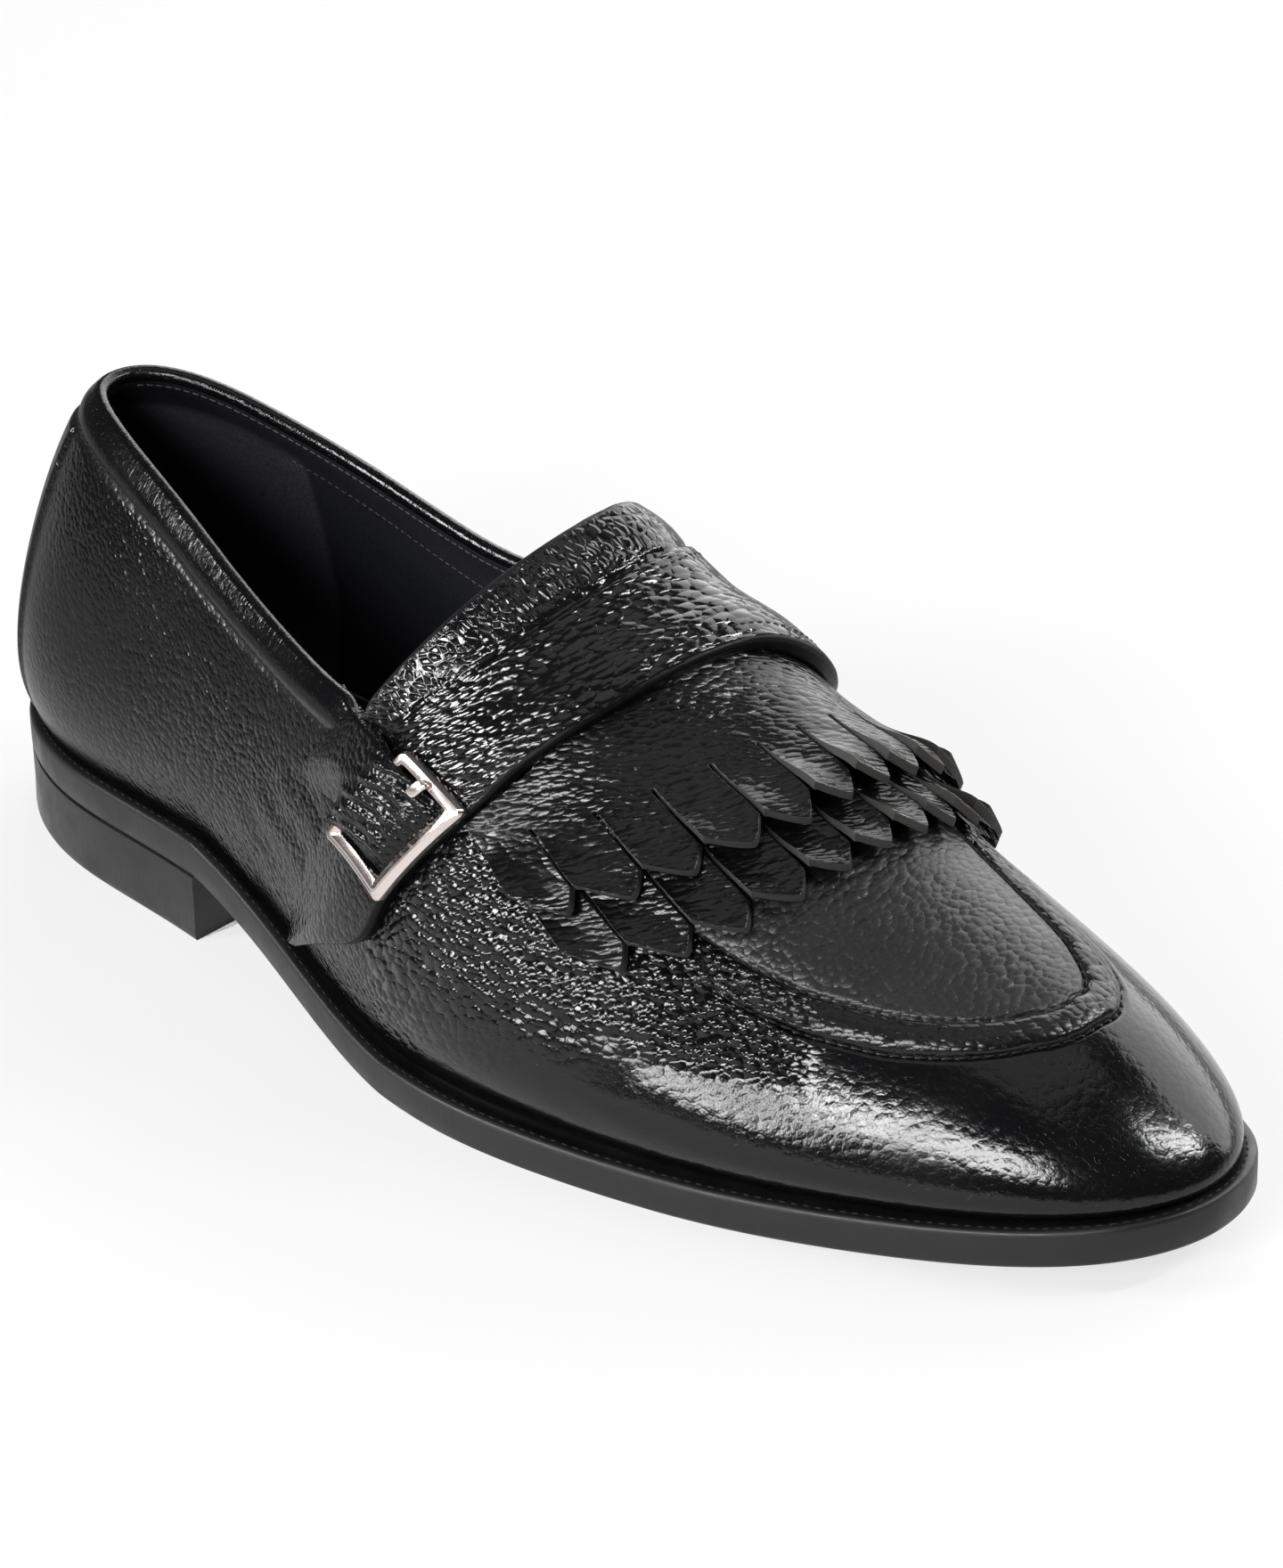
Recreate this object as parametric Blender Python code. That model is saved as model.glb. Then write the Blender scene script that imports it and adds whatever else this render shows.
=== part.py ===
"""Monk strap loafer with a two layer fringe, right foot, as separate closed solids.

Every curved piece is laid on one function, the last: a plan outline at the feather
line, a ridge along the top of the foot, and one rounded profile per station between
them. Pieces above the upper are offsets of that function.
"""
import math

import bpy
import numpy as np

# Lengths are millimetres: x from the back of the heel, y to the inner side, z up.
MM = 0.001
ORIGIN_X = 151.0
ORIGIN_Y = -3.23

# Sole and heel
SOLE_LENGTH = 302.0
SOLE_TOE_Y = 4.5
SOLE_THICK = 7.6
HEEL_HEIGHT = 14.6
HEEL_BREAST_X = 76.0
TREAD_START_X = 145.0
TREAD_END_X = 212.0
TOE_SPRING = 8.6
TOE_SPRING_POWER = 1.8
SHANK_ROUND = 0.3
# x, outer side y, inner side y
SOLE_ROWS = [
    (10, -18.5, 19.5), (35, -30.5, 30.5), (70, -35, 31), (100, -41, 28),
    (130, -49.5, 29), (160, -55, 37.5), (190, -53, 46.5), (220, -46.5, 48.5),
    (250, -37, 44), (276, -26.5, 35.5), (294, -14, 24.5)]

# Last
FEATHER_START_X = 3.0
FEATHER_END_X = 298.5
# x, outer side y, inner side y
FEATHER_ROWS = [
    (12, -17.5, 17.5), (35, -27.5, 27.5), (70, -31.5, 28), (100, -37, 24.5),
    (130, -45, 25), (160, -50, 33), (190, -48, 42), (220, -41.5, 44),
    (250, -32.3, 40), (274, -23, 32.5), (290, -12.5, 22)]
# x, ridge z, ridge y, side bulge, fullness of the profile
SECTION_ROWS = [
    (0, 103.5, 2, 3.2, 1.95), (40, 103.5, 2, 3.4, 1.95), (80, 106, 2, 3.5, 2.0),
    (110, 109, 2, 3.5, 2.1), (140, 110, 3, 4.5, 2.25), (165, 96, 4.5, 5.0, 2.25),
    (190, 78.5, 5.5, 5.5, 2.15), (215, 63.5, 6, 5.5, 2.1), (240, 52.5, 6, 5.0, 2.2),
    (265, 43.5, 6, 3.6, 2.4), (302, 31, 5, 1.8, 2.5)]
BULGE_PEAK = 0.22
TOE_FAN_X = 205.0
TOE_POLE_X = 262.0
HEEL_FAN_X = 85.0
HEEL_POLE_X = 36.0

# Collar, seen from the outer side: x, z; the inner side rises over it along a stretch of x
TOPLINE_ROWS = [
    (-6, 93), (15, 93), (30, 91.5), (45, 88), (60, 83.5), (80, 77), (100, 72),
    (115, 70.2), (130, 70.1)]
INNER_RISE = 5.0
INNER_RISE_X = (45, 100)
THROAT_SLOPE = 37.0 / 24.0
NOTCH_X = {-1: TOPLINE_ROWS[-1][0], 1: TOPLINE_ROWS[-1][0] + INNER_RISE / THROAT_SLOPE}

# Upper
WALL = 2.2
RIM_WALL = 2.8
SOLE_GAP = 0.3
UPPER_ROWS = 14
BEAD_HEIGHT = 0.9
BEAD_GROOVE = 0.4
# station x, outer side centre of the apron bead, inner side centre, from the ridge
BEAD_ROWS = [
    (150, 52, 34), (204, 46.5, 27), (220, 42.5, 22), (232, 38.7, 20), (249, 31.4, 18),
    (262, 24.5, 16.5), (278, 15.5, 13), (290, 10.5, 10), (298.5, 8, 8)]
BEAD_HALF = 3.4
BEAD_ROW = 8
BEAD_FADE_X = (206, 224)
BEAD_ROWS_FROM_X = 195.0

# Insole
INSOLE_INSET = 3.4
INSOLE_THICK = 2.0
INSOLE_TOE_X = 260.0

# Strap: distance from the ridge (outer side minus), front edge x
STRAP_FRONT_ROWS = [
    (-110, 119), (-105.5, 135), (-101, 143), (-92, 149.4), (-76, 157.5), (-62.4, 163.4),
    (-43, 171.1), (-24, 178.4), (-10, 181.8), (4.6, 184.3), (16.7, 185.6), (30, 184),
    (45, 178), (60, 169), (72, 160), (82, 150), (88, 141), (92, 128)]
STRAP_REAR_OUTER = (-110, 104)
STRAP_REAR_INNER = (92, 106)
STRAP_THICK = 2.3
STRAP_SKIVE = 0.5
STRAP_LIFT = 2.6
STRAP_GAP = 0.3
RIM_MARGIN = 1.5
# Distances from the ridge over which the lift for the fringe ends, and the band becomes the quarter
LIFT_END = {-1: (46, 58), 1: (40, 50)}
QUARTER_BLEND = (-6, 10)

# Fringe: slit lines as distances from the ridge, outer side minus
FLAP_LINES = [-64, -53.3, -41.6, -30.6, -19.4, -9.7, -0.9, 7, 15, 24, 33.5, 43, 52]
FLAP_CORNER_X = 211.0
FLAP_CORNER_CURVE = 0.0072
FLAP_CORNER_T = 5.0
FLAP_LENGTH = 12.0
FLAP_POINT = 4.5
FLAP_POINT_AT = 0.6
SLIT_HALF = 0.45
LAYER_STEP = 11.5
LAYER_THICK = 1.8
UPPER_LAYER_OFFSET = 2.7
LOWER_LAYER_OFFSET = 0.5
FLAP_CURL = 0.7
TUCK = 4.5
TUCK_EASE = 11.0
ROOT_GAP = 0.6
LOWER_ROOT = 1.5

# Buckle: station x and distance from the ridge of the four corners
BUCKLE_TOP = (147.8, -60.3)
BUCKLE_FRONT = (163.4, -60.2)
BUCKLE_LOW = (149.5, -88.9)
BUCKLE_REAR = (132.0, -84.2)
BUCKLE_WIDE = 19.0
BUCKLE_LONG = 27.5
BAR_WIDE = 2.9
BAR_THICK = 2.2
BUCKLE_OFFSET = 3.0
BUCKLE_RADIUS = 2.2
BUCKLE_INNER_RADIUS = 0.8
PRONG_WIDE = 2.6
PRONG_THICK = 1.5
TAB_THICK = 1.3
TAB_REAR = -0.5
TAB_SIDE_GAP = 0.16
TAB_END_GAP = 0.05

# Plain colours and roughness of the solids
LEATHER = ((0.019, 0.019, 0.021), 0.35)
LINING = ((0.02, 0.02, 0.028), 0.7)
RUBBER = ((0.032, 0.032, 0.034), 0.6)
METAL = ((0.61, 0.58, 0.56), 0.2)


def spline(knots, values, at):
    """Natural cubic through the knots."""
    k = np.asarray(knots, float)
    v = np.asarray(values, float)
    n = len(k)
    h = np.diff(k)
    a = np.zeros((n, n))
    r = np.zeros(n)
    a[0, 0] = 1.0
    a[-1, -1] = 1.0
    for i in range(1, n - 1):
        a[i, i - 1] = h[i - 1]
        a[i, i] = 2 * (h[i - 1] + h[i])
        a[i, i + 1] = h[i]
        r[i] = 6 * ((v[i + 1] - v[i]) / h[i] - (v[i] - v[i - 1]) / h[i - 1])
    m = np.linalg.solve(a, r)
    x = np.asarray(at, float)
    i = np.clip(np.searchsorted(k, x) - 1, 0, n - 2)
    p = (k[i + 1] - x) / h[i]
    q = 1 - p
    bend = ((p ** 3 - p) * m[i] + (q ** 3 - q) * m[i + 1]) * h[i] ** 2 / 6
    return p * v[i] + q * v[i + 1] + bend


def ramp(x, a, b):
    """Smooth step from 0 at a to 1 at b."""
    t = np.clip((np.asarray(x, float) - a) / (b - a), 0, 1)
    return t * t * (3 - 2 * t)


def column(rows, i):
    return np.array([row[i] for row in rows], float)


class Outline:
    """Closed plan outline, one curve per side, over an angle from heel (0) to toe (pi)."""

    def __init__(self, rows, start, end, toe_y):
        self.start = start
        self.end = end
        self.knots = np.concatenate([[0.0], self.angle(column(rows, 0)), [math.pi]])
        self.sides = {}
        for side, i in ((-1, 1), (1, 2)):
            self.sides[side] = np.concatenate([[0.0], column(rows, i), [toe_y]])

    def angle(self, x):
        share = (np.asarray(x, float) - self.start) / (self.end - self.start)
        return np.arccos(np.clip(1 - 2 * share, -1, 1))

    def station(self, angle):
        return self.start + (self.end - self.start) * (1 - np.cos(angle)) / 2

    def at(self, angle, side):
        return np.stack([self.station(angle), spline(self.knots, self.sides[side], angle)], -1)

    def outward(self, angle, side):
        if angle < 1e-6:
            return np.array([-1.0, 0.0])
        if angle > math.pi - 1e-6:
            return np.array([1.0, 0.0])
        step = 1e-4
        d = self.at(min(angle + step, math.pi), side) - self.at(max(angle - step, 0.0), side)
        n = np.array([d[1], -d[0]]) * -side
        return n / np.linalg.norm(n)


SOLE = Outline(SOLE_ROWS, 0.0, SOLE_LENGTH, SOLE_TOE_Y)
FEATHER = Outline(FEATHER_ROWS, FEATHER_START_X, FEATHER_END_X, SOLE_TOE_Y)


def sole_bottom(x):
    """Underside height: heel seat, shank, flat tread and toe spring."""
    x = np.asarray(x, float)
    t = np.clip((x - HEEL_BREAST_X) / (TREAD_START_X - HEEL_BREAST_X), 0, 1)
    shank = SHANK_ROUND * (1 - t) ** 2 * (1 + 2 * t) + (1 - SHANK_ROUND) * (1 - t) ** 1.25
    u = np.clip((x - TREAD_END_X) / (SOLE_LENGTH - TREAD_END_X), 0, 1)
    return HEEL_HEIGHT * shank + TOE_SPRING * u ** TOE_SPRING_POWER


def section(i, x):
    return spline(column(SECTION_ROWS, 0), column(SECTION_ROWS, i), x)


def ridge_x(x):
    """Ridge position of a station, gathered to a pole at the toe and at the heel."""
    if x > TOE_FAN_X:
        span = FEATHER_END_X - TOE_FAN_X
        rise = TOE_POLE_X - TOE_FAN_X
        t = (x - TOE_FAN_X) / span
        return TOE_FAN_X + rise * (1 - (1 - t) ** (span / rise))
    if x < HEEL_FAN_X:
        span = HEEL_FAN_X - FEATHER_START_X
        rise = HEEL_FAN_X - HEEL_POLE_X
        t = (HEEL_FAN_X - x) / span
        return HEEL_FAN_X - rise * (1 - (1 - t) ** (span / rise))
    return x


def topline(x, side):
    """Side view height of the collar, then of the throat line in front of it."""
    x = np.asarray(x, float)
    notch_x, notch_z = TOPLINE_ROWS[-1]
    collar = spline(column(TOPLINE_ROWS, 0), column(TOPLINE_ROWS, 1), np.minimum(x, notch_x))
    if side > 0:
        collar = collar + INNER_RISE * ramp(x, *INNER_RISE_X)
    return np.maximum(collar, notch_z + (x - notch_x) * THROAT_SLOPE)


PROFILES = {}


def profile(x, side):
    """Points of one station from feather to ridge, with their arc lengths."""
    key = (round(float(x), 5), side)
    if key in PROFILES:
        return PROFILES[key]
    angle = FEATHER.angle(x)
    foot = FEATHER.at(angle, side)
    out = FEATHER.outward(angle, side)
    rx = ridge_x(float(x))
    ridge = np.array([rx, float(section(2, rx))])
    base = float(sole_bottom(foot[0])) + SOLE_THICK + SOLE_GAP
    bulge = float(section(3, x))
    full = float(section(4, x))
    turn = np.linspace(0, math.pi / 2, 161)
    lean = 1 - np.cos(turn)
    rise = np.sin(turn) ** (2 / full)
    swell = rise / BULGE_PEAK * np.exp(1 - rise / BULGE_PEAK) * (1 - lean)
    plan = foot + out * (bulge * swell)[:, None] + (ridge - foot) * lean[:, None]
    z = base + (section(1, plan[:, 0]) - base) * rise
    points = np.column_stack([plan, z])
    steps = np.linalg.norm(np.diff(points, axis=0), axis=1)
    PROFILES[key] = (points, np.concatenate([[0.0], np.cumsum(steps)]))
    return PROFILES[key]


def on_profile(x, side, s):
    points, length = profile(x, side)
    return np.array([np.interp(s, length, points[:, i]) for i in range(3)])


def skin(x, t):
    """Point of the last at station x, a distance t from the ridge (outer side minus)."""
    side = -1 if t < 0 else 1
    length = profile(x, side)[1][-1]
    return on_profile(x, side, length - abs(t))


def skin_normal(x, t, step=1.2):
    along = skin(x + step, t) - skin(x - step, t)
    across = skin(x, t + step) - skin(x, t - step)
    n = np.cross(along, across)
    return n / np.linalg.norm(n)


def lifted(x, t, offset):
    return skin(x, t) + skin_normal(x, t) * offset


def throat_x():
    """Station where the throat line meets the ridge."""
    lo, hi = NOTCH_X[1], TOE_FAN_X
    for _ in range(60):
        mid = (lo + hi) / 2
        if topline(mid, 1) < section(1, mid):
            lo = mid
        else:
            hi = mid
    return (lo + hi) / 2


THROAT_X = throat_x()


def trim(x, side):
    """Arc length at which a station ends: on the topline, or on the ridge."""
    points, length = profile(x, side)
    if x >= THROAT_X - 1e-6:
        return length[-1]
    over = points[:, 2] - topline(points[:, 0], side)
    i = int(np.argmax(over > 0))
    f = over[i - 1] / (over[i - 1] - over[i])
    return length[i - 1] + f * (length[i] - length[i - 1])


def weld(points, faces):
    """Merge equal points and drop faces that collapse."""
    index = {}
    order = []
    renamed = []
    for p in points:
        key = tuple(np.round(p, 4))
        if key not in index:
            index[key] = len(order)
            order.append(p)
        renamed.append(index[key])
    kept = []
    for face in faces:
        ring = []
        for v in face:
            if renamed[v] not in ring:
                ring.append(renamed[v])
        if len(ring) > 2:
            kept.append(ring)
    first = {}
    for old, new in enumerate(renamed):
        first.setdefault(new, old)
    return np.array(order), kept, [first[i] for i in range(len(order))]


def sheet_normals(points, faces):
    """Normal at each point, from the faces round it by area."""
    n = np.zeros_like(points)
    for face in faces:
        ring = points[face]
        n[face] += np.cross(ring, np.roll(ring, -1, axis=0)).sum(axis=0)
    return n / np.linalg.norm(n, axis=1, keepdims=True)


def make_object(name, points, faces, look):
    colour, rough = look
    mesh = bpy.data.meshes.new(name)
    shift = np.array([ORIGIN_X, ORIGIN_Y, 0.0])
    mesh.from_pydata(((np.asarray(points) - shift) * MM).tolist(), [], [list(f) for f in faces])
    material = bpy.data.materials.new(name + "_material")
    material.use_nodes = True
    shader = material.node_tree.nodes["Principled BSDF"]
    shader.inputs["Base Color"].default_value = (*colour, 1.0)
    shader.inputs["Roughness"].default_value = rough
    shader.inputs["Metallic"].default_value = float(look is METAL)
    mesh.materials.append(material)
    mesh.validate()
    obj = bpy.data.objects.new(name, mesh)
    bpy.context.scene.collection.objects.link(obj)
    return obj


def closed(name, top, bottom, faces, look):
    """Solid between two matched sheets; open edges of the sheet become walls."""
    count = len(top)
    edges = [edge for face in faces for edge in zip(face, face[1:] + face[:1])]
    shared = set(edges)
    solid = [list(f) for f in faces]
    solid += [[v + count for v in reversed(f)] for f in faces]
    solid += [[b, a, a + count, b + count] for a, b in edges if (b, a) not in shared]
    return make_object(name, np.vstack([top, bottom]), solid, look)


def grid_faces(rows, columns, start=0, flip=False):
    faces = []
    for i in range(rows - 1):
        for j in range(columns - 1):
            a = start + i * columns + j
            ring = [a, a + columns, a + columns + 1, a + 1]
            faces.append(ring[::-1] if flip else ring)
    return faces


def plan_sheet(angles, outline, inset, across):
    """Grid over a plan outline: stations from heel to toe, columns from outer to inner side."""
    points = []
    for angle in angles:
        outer = outline.at(angle, -1) - outline.outward(angle, -1) * inset
        inner = outline.at(angle, 1) - outline.outward(angle, 1) * inset
        for f in np.linspace(0, 1, across):
            points.append(outer + (inner - outer) * f)
    return np.array(points)


def slab(name, angles, outline, inset, low, high, look):
    """Plate between two heights over a plan outline."""
    across = 7
    plan = plan_sheet(angles, outline, inset, across)
    flat = np.column_stack([plan, np.zeros(len(plan))])
    flat, faces, _ = weld(flat, grid_faces(len(angles), across))
    top = flat.copy()
    bottom = flat.copy()
    top[:, 2] = high(flat[:, 0])
    bottom[:, 2] = low(flat[:, 0])
    return closed(name, top, bottom, faces, look)


def outsole():
    seat = SOLE.angle(HEEL_BREAST_X)
    toe = SOLE.angle(TREAD_END_X)
    angles = np.concatenate([
        np.linspace(0, seat, 15)[:-1],
        SOLE.angle(np.linspace(HEEL_BREAST_X, TREAD_START_X, 13)[:-1]),
        SOLE.angle(np.linspace(TREAD_START_X, TREAD_END_X, 9)[:-1]),
        np.linspace(toe, math.pi, 21)])

    def top(x):
        return sole_bottom(x) + SOLE_THICK

    return slab("outsole", angles, SOLE, 0.0, sole_bottom, top, RUBBER)


def heel():
    angles = np.linspace(0, SOLE.angle(HEEL_BREAST_X), 15)

    def floor(x):
        return np.zeros_like(x)

    def seat(x):
        return np.full_like(x, HEEL_HEIGHT - SOLE_GAP)

    return slab("heel", angles, SOLE, 0.0, floor, seat, RUBBER)


def insole():
    toe = FEATHER.angle(INSOLE_TOE_X)
    angles = np.concatenate([np.linspace(0, toe, 24)[:-1], np.linspace(toe, math.pi, 9)])

    def under(x):
        return sole_bottom(x) + SOLE_THICK + SOLE_GAP

    def top(x):
        return under(x) + INSOLE_THICK

    return slab("insole", angles, FEATHER, INSOLE_INSET, under, top, LINING)


def upper_stations():
    """Stations of the upper, closer together round heel and toe and towards the end of the throat."""
    notch = NOTCH_X[-1]
    heel_part = FEATHER.station(np.linspace(0, FEATHER.angle(HEEL_FAN_X), 12))
    toe_part = FEATHER.station(np.linspace(FEATHER.angle(TOE_FAN_X), math.pi, 15))
    throat = notch + (THROAT_X - notch) * (1 - np.linspace(1, 0, 9) ** 2)
    return np.sort(np.concatenate([
        heel_part[:-1], [HEEL_BREAST_X, NOTCH_X[1]], np.linspace(HEEL_FAN_X, notch, 7)[:-1],
        throat, np.linspace(THROAT_X, TOE_FAN_X, 9)[1:-1], toe_part]))


def upper_rows(x, side):
    """Arc lengths of the rows of one station; three rows follow the apron bead."""
    end = trim(x, side)
    even = end * np.arange(UPPER_ROWS + 1) / UPPER_ROWS
    full = profile(x, side)[1][-1]
    centre = np.interp(x, column(BEAD_ROWS, 0), column(BEAD_ROWS, 1 if side < 0 else 2))
    marks = [0.0, full - centre - BEAD_HALF, full - centre, full - centre + BEAD_HALF, full]
    rows = [0, BEAD_ROW - 1, BEAD_ROW, BEAD_ROW + 1, UPPER_ROWS]
    bead = np.interp(np.arange(UPPER_ROWS + 1), rows, marks)
    w = float(ramp(x, THROAT_X, BEAD_ROWS_FROM_X))
    return even * (1 - w) + bead * w


def upper():
    stations = upper_stations()
    columns = UPPER_ROWS + 1
    relief = np.zeros(columns)
    relief[[BEAD_ROW - 1, BEAD_ROW, BEAD_ROW + 1]] = (-BEAD_GROOVE, BEAD_HEIGHT, -BEAD_GROOVE)
    points = []
    swell = []
    edge = []
    faces = []
    for side in (-1, 1):
        start = len(points)
        for x in stations:
            fade = float(ramp(x, *BEAD_FADE_X))
            for j, s in enumerate(upper_rows(x, side)):
                points.append(on_profile(x, side, s))
                swell.append(relief[j] * fade)
                edge.append((j == 0, x < THROAT_X and j == UPPER_ROWS))
        faces += grid_faces(len(stations), columns, start, flip=side > 0)
    points, faces, origin = weld(np.array(points), faces)
    swell = np.array(swell)[origin]
    edge = np.array(edge)[origin]
    normal = sheet_normals(points, faces)
    outer = points + normal * swell[:, None]
    wall = np.where(edge[:, 1], RIM_WALL, WALL)
    inner = points - normal * wall[:, None]
    level = normal.copy()
    level[:, 2] = 0
    level /= np.linalg.norm(level, axis=1, keepdims=True)
    foot = edge[:, 0]
    inner[foot] = points[foot] - level[foot] * WALL
    return closed("upper", outer, inner, faces, LEATHER)


def rim_stations(side):
    """Throat line as distances from the ridge and stations, from the notch to the ridge."""
    xs = np.linspace(NOTCH_X[side], THROAT_X, 40)
    t = np.array([side * (profile(x, side)[1][-1] - trim(x, side)) for x in xs])
    return t, xs


def strap_rear(t):
    """Rear edge of the strap: along the throat line, then down the quarter."""
    side = -1 if t < 0 else 1
    rim_t, rim_x = rim_stations(side)
    reach = abs(rim_t[0])
    if abs(t) <= reach:
        return float(np.interp(-abs(t), -np.abs(rim_t), rim_x)) + RIM_MARGIN
    end_t, end_x = STRAP_REAR_OUTER if side < 0 else STRAP_REAR_INNER
    f = (abs(t) - reach) / (abs(end_t) - reach)
    return rim_x[0] + RIM_MARGIN + (end_x - rim_x[0] - RIM_MARGIN) * f


def strap_front(t):
    return float(spline(column(STRAP_FRONT_ROWS, 0), column(STRAP_FRONT_ROWS, 1), t))


def tucked(t):
    """Share of the tuck and lift where the fringe runs under the strap."""
    return 1 - float(ramp(abs(t), *LIFT_END[-1 if t < 0 else 1]))


def strap():
    rows = np.concatenate([
        np.linspace(-110, -96, 6)[:-1], np.linspace(-96, -64, 7)[:-1], np.linspace(-64, 50, 25)[:-1],
        np.linspace(50, 80, 6)[:-1], np.linspace(80, 92, 5)])
    across = np.array([0.0, 0.2, 0.45, 0.7, 0.84, 1.0])
    top = []
    bottom = []
    for t in rows:
        rear = strap_rear(t)
        front = strap_front(t)
        side = -1 if t < 0 else 1
        reach = abs(rim_stations(side)[0][0])
        quarter = float(ramp(abs(t) - reach, *QUARTER_BLEND))
        raised = tucked(t)
        for c in across:
            x = rear + (front - rear) * c
            under = STRAP_GAP + (STRAP_LIFT - STRAP_GAP) * raised * float(ramp(c, 0.5, 0.8))
            skived = STRAP_SKIVE + (STRAP_THICK - STRAP_SKIVE) * float(ramp(c, 0.0, 0.6))
            thick = STRAP_THICK + (skived - STRAP_THICK) * quarter
            top.append(lifted(x, t, under + thick))
            bottom.append(lifted(x, t, under))
    faces = grid_faces(len(rows), len(across), flip=True)
    return closed("strap", np.array(top), np.array(bottom), faces, LEATHER)


def corner_x(t):
    return FLAP_CORNER_X - FLAP_CORNER_CURVE * (t - FLAP_CORNER_T) ** 2


def fringe(name, root, shift, under):
    """One layer: a band from the root line to the slits, and pointed flaps fused to it."""
    parts = np.array([0.0, 0.32, FLAP_POINT_AT, 1.0])
    band_rows = 4
    flap_rows = 4
    columns = []
    flap_of = []
    for k in range(len(FLAP_LINES) - 1):
        a = FLAP_LINES[k] + SLIT_HALF
        b = FLAP_LINES[k + 1] - SLIT_HALF
        for u in parts:
            columns.append(a + (b - a) * u)
            flap_of.append((k, u))
    top = []
    bottom = []
    for t, (k, u) in zip(columns, flap_of):
        slit = corner_x(t) - FLAP_LENGTH + shift
        start = root(t)
        side_share = (FLAP_POINT_AT - u) / FLAP_POINT_AT if u < FLAP_POINT_AT else (
            (u - FLAP_POINT_AT) / (1 - FLAP_POINT_AT))
        end = corner_x(t) + shift + FLAP_POINT * (1 - side_share ** 1.3)
        xs = np.concatenate([
            np.linspace(start, slit, band_rows), np.linspace(slit, end, flap_rows + 1)[1:]])
        for x in xs:
            curl = FLAP_CURL * float(ramp(x, slit, end)) ** 1.5
            low = under(x, start, slit) + curl
            bottom.append(lifted(x, t, low))
            top.append(lifted(x, t, low + LAYER_THICK))
    per = band_rows + flap_rows
    faces = []
    for c in range(len(columns) - 1):
        bridge = flap_of[c][0] != flap_of[c + 1][0]
        for r in range((band_rows if bridge else per) - 1):
            a = c * per + r
            faces.append([a, a + 1, a + per + 1, a + per])
    return closed(name, np.array(top), np.array(bottom), faces, LEATHER)


def fringe_upper():
    """Layer that starts under the strap and climbs over the lower layer."""
    def root(t):
        share = tucked(t + math.copysign(TUCK_EASE, t))
        return strap_front(t) + ROOT_GAP - (TUCK + ROOT_GAP) * share

    def under(x, start, slit):
        climb = float(ramp(x, start * 0.7 + slit * 0.3, slit))
        return STRAP_GAP + (UPPER_LAYER_OFFSET - STRAP_GAP) * climb

    return fringe("kiltie_upper_layer", root, 0.0, under)


def fringe_lower():
    """Layer on the vamp, from just in front of the upper layer's slits."""
    def root(t):
        return corner_x(t) - FLAP_LENGTH + LOWER_ROOT

    def under(x, start, slit):
        return LOWER_LAYER_OFFSET

    return fringe("kiltie_lower_layer", root, LAYER_STEP, under)


def buckle_point(a, b, offset):
    """Point over the buckle panel: a from rear to front, b from the strap end downwards."""
    upper_edge = np.array(BUCKLE_TOP) * (1 - a) + np.array(BUCKLE_FRONT) * a
    lower_edge = np.array(BUCKLE_REAR) * (1 - a) + np.array(BUCKLE_LOW) * a
    x, t = upper_edge * (1 - b) + lower_edge * b
    return lifted(x, t, offset)


def rounded_ring(half_wide, half_long, radius, per_corner=4, per_side=3):
    """Points round a rectangle with rounded corners, counted the same for every radius."""
    corners = []
    for k, (sx, sy) in enumerate(((1, -1), (1, 1), (-1, 1), (-1, -1))):
        centre = np.array([sx * (half_wide - radius), sy * (half_long - radius)])
        turn = math.pi / 2 * (k - 1 + np.linspace(0, 1, per_corner))
        corners.append(centre + radius * np.stack([np.cos(turn), np.sin(turn)], -1))
    ring = []
    for k, corner in enumerate(corners):
        start = corner[-1]
        end = corners[(k + 1) % 4][0]
        share = np.linspace(0, 1, per_side + 2)[1:-1, None]
        ring += [corner, start + (end - start) * share]
    return np.concatenate(ring)


def bar_section(sides=8):
    """Ring round a flat bar with rounded edges: share across it, share of its height."""
    turn = 2 * math.pi * (np.arange(sides) + 0.5) / sides
    across = np.sign(np.cos(turn)) * np.abs(np.cos(turn)) ** 0.6
    up = np.sign(np.sin(turn)) * np.abs(np.sin(turn)) ** 0.6
    return list(zip(across / 2, up / 2 + 0.5))


def buckle_frame():
    """Rectangular ring of a flat bar, bent to the foot."""
    half_wide = BUCKLE_WIDE / 2
    half_long = BUCKLE_LONG / 2
    outer = rounded_ring(half_wide, half_long, BUCKLE_RADIUS)
    inner = rounded_ring(half_wide - BAR_WIDE, half_long - BAR_WIDE, BUCKLE_INNER_RADIUS)
    section_ring = bar_section()
    points = []
    for o, i in zip(outer, inner):
        for across, up in section_ring:
            u, v = (o + i) / 2 + (o - i) * across
            height = BUCKLE_OFFSET + BAR_THICK * up
            points.append(buckle_point(0.5 + u / BUCKLE_WIDE, 0.5 + v / BUCKLE_LONG, height))
    count = len(outer)
    m = len(section_ring)
    faces = []
    for k in range(count):
        for j in range(m):
            here = k * m
            ahead = (k + 1) % count * m
            faces.append([here + j, here + (j + 1) % m, ahead + (j + 1) % m, ahead + j])
    return make_object("buckle_frame", points, faces, METAL)


def panel(name, a_values, b_values, under, thick, look):
    """Thin piece over the buckle panel with a height law for its underside."""
    top = []
    bottom = []
    for b in b_values:
        for a in a_values:
            low = under(a, b)
            bottom.append(buckle_point(a, b, low))
            top.append(buckle_point(a, b, low + thick))
    faces = grid_faces(len(b_values), len(a_values))
    return closed(name, np.array(top), np.array(bottom), faces, look)


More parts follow.
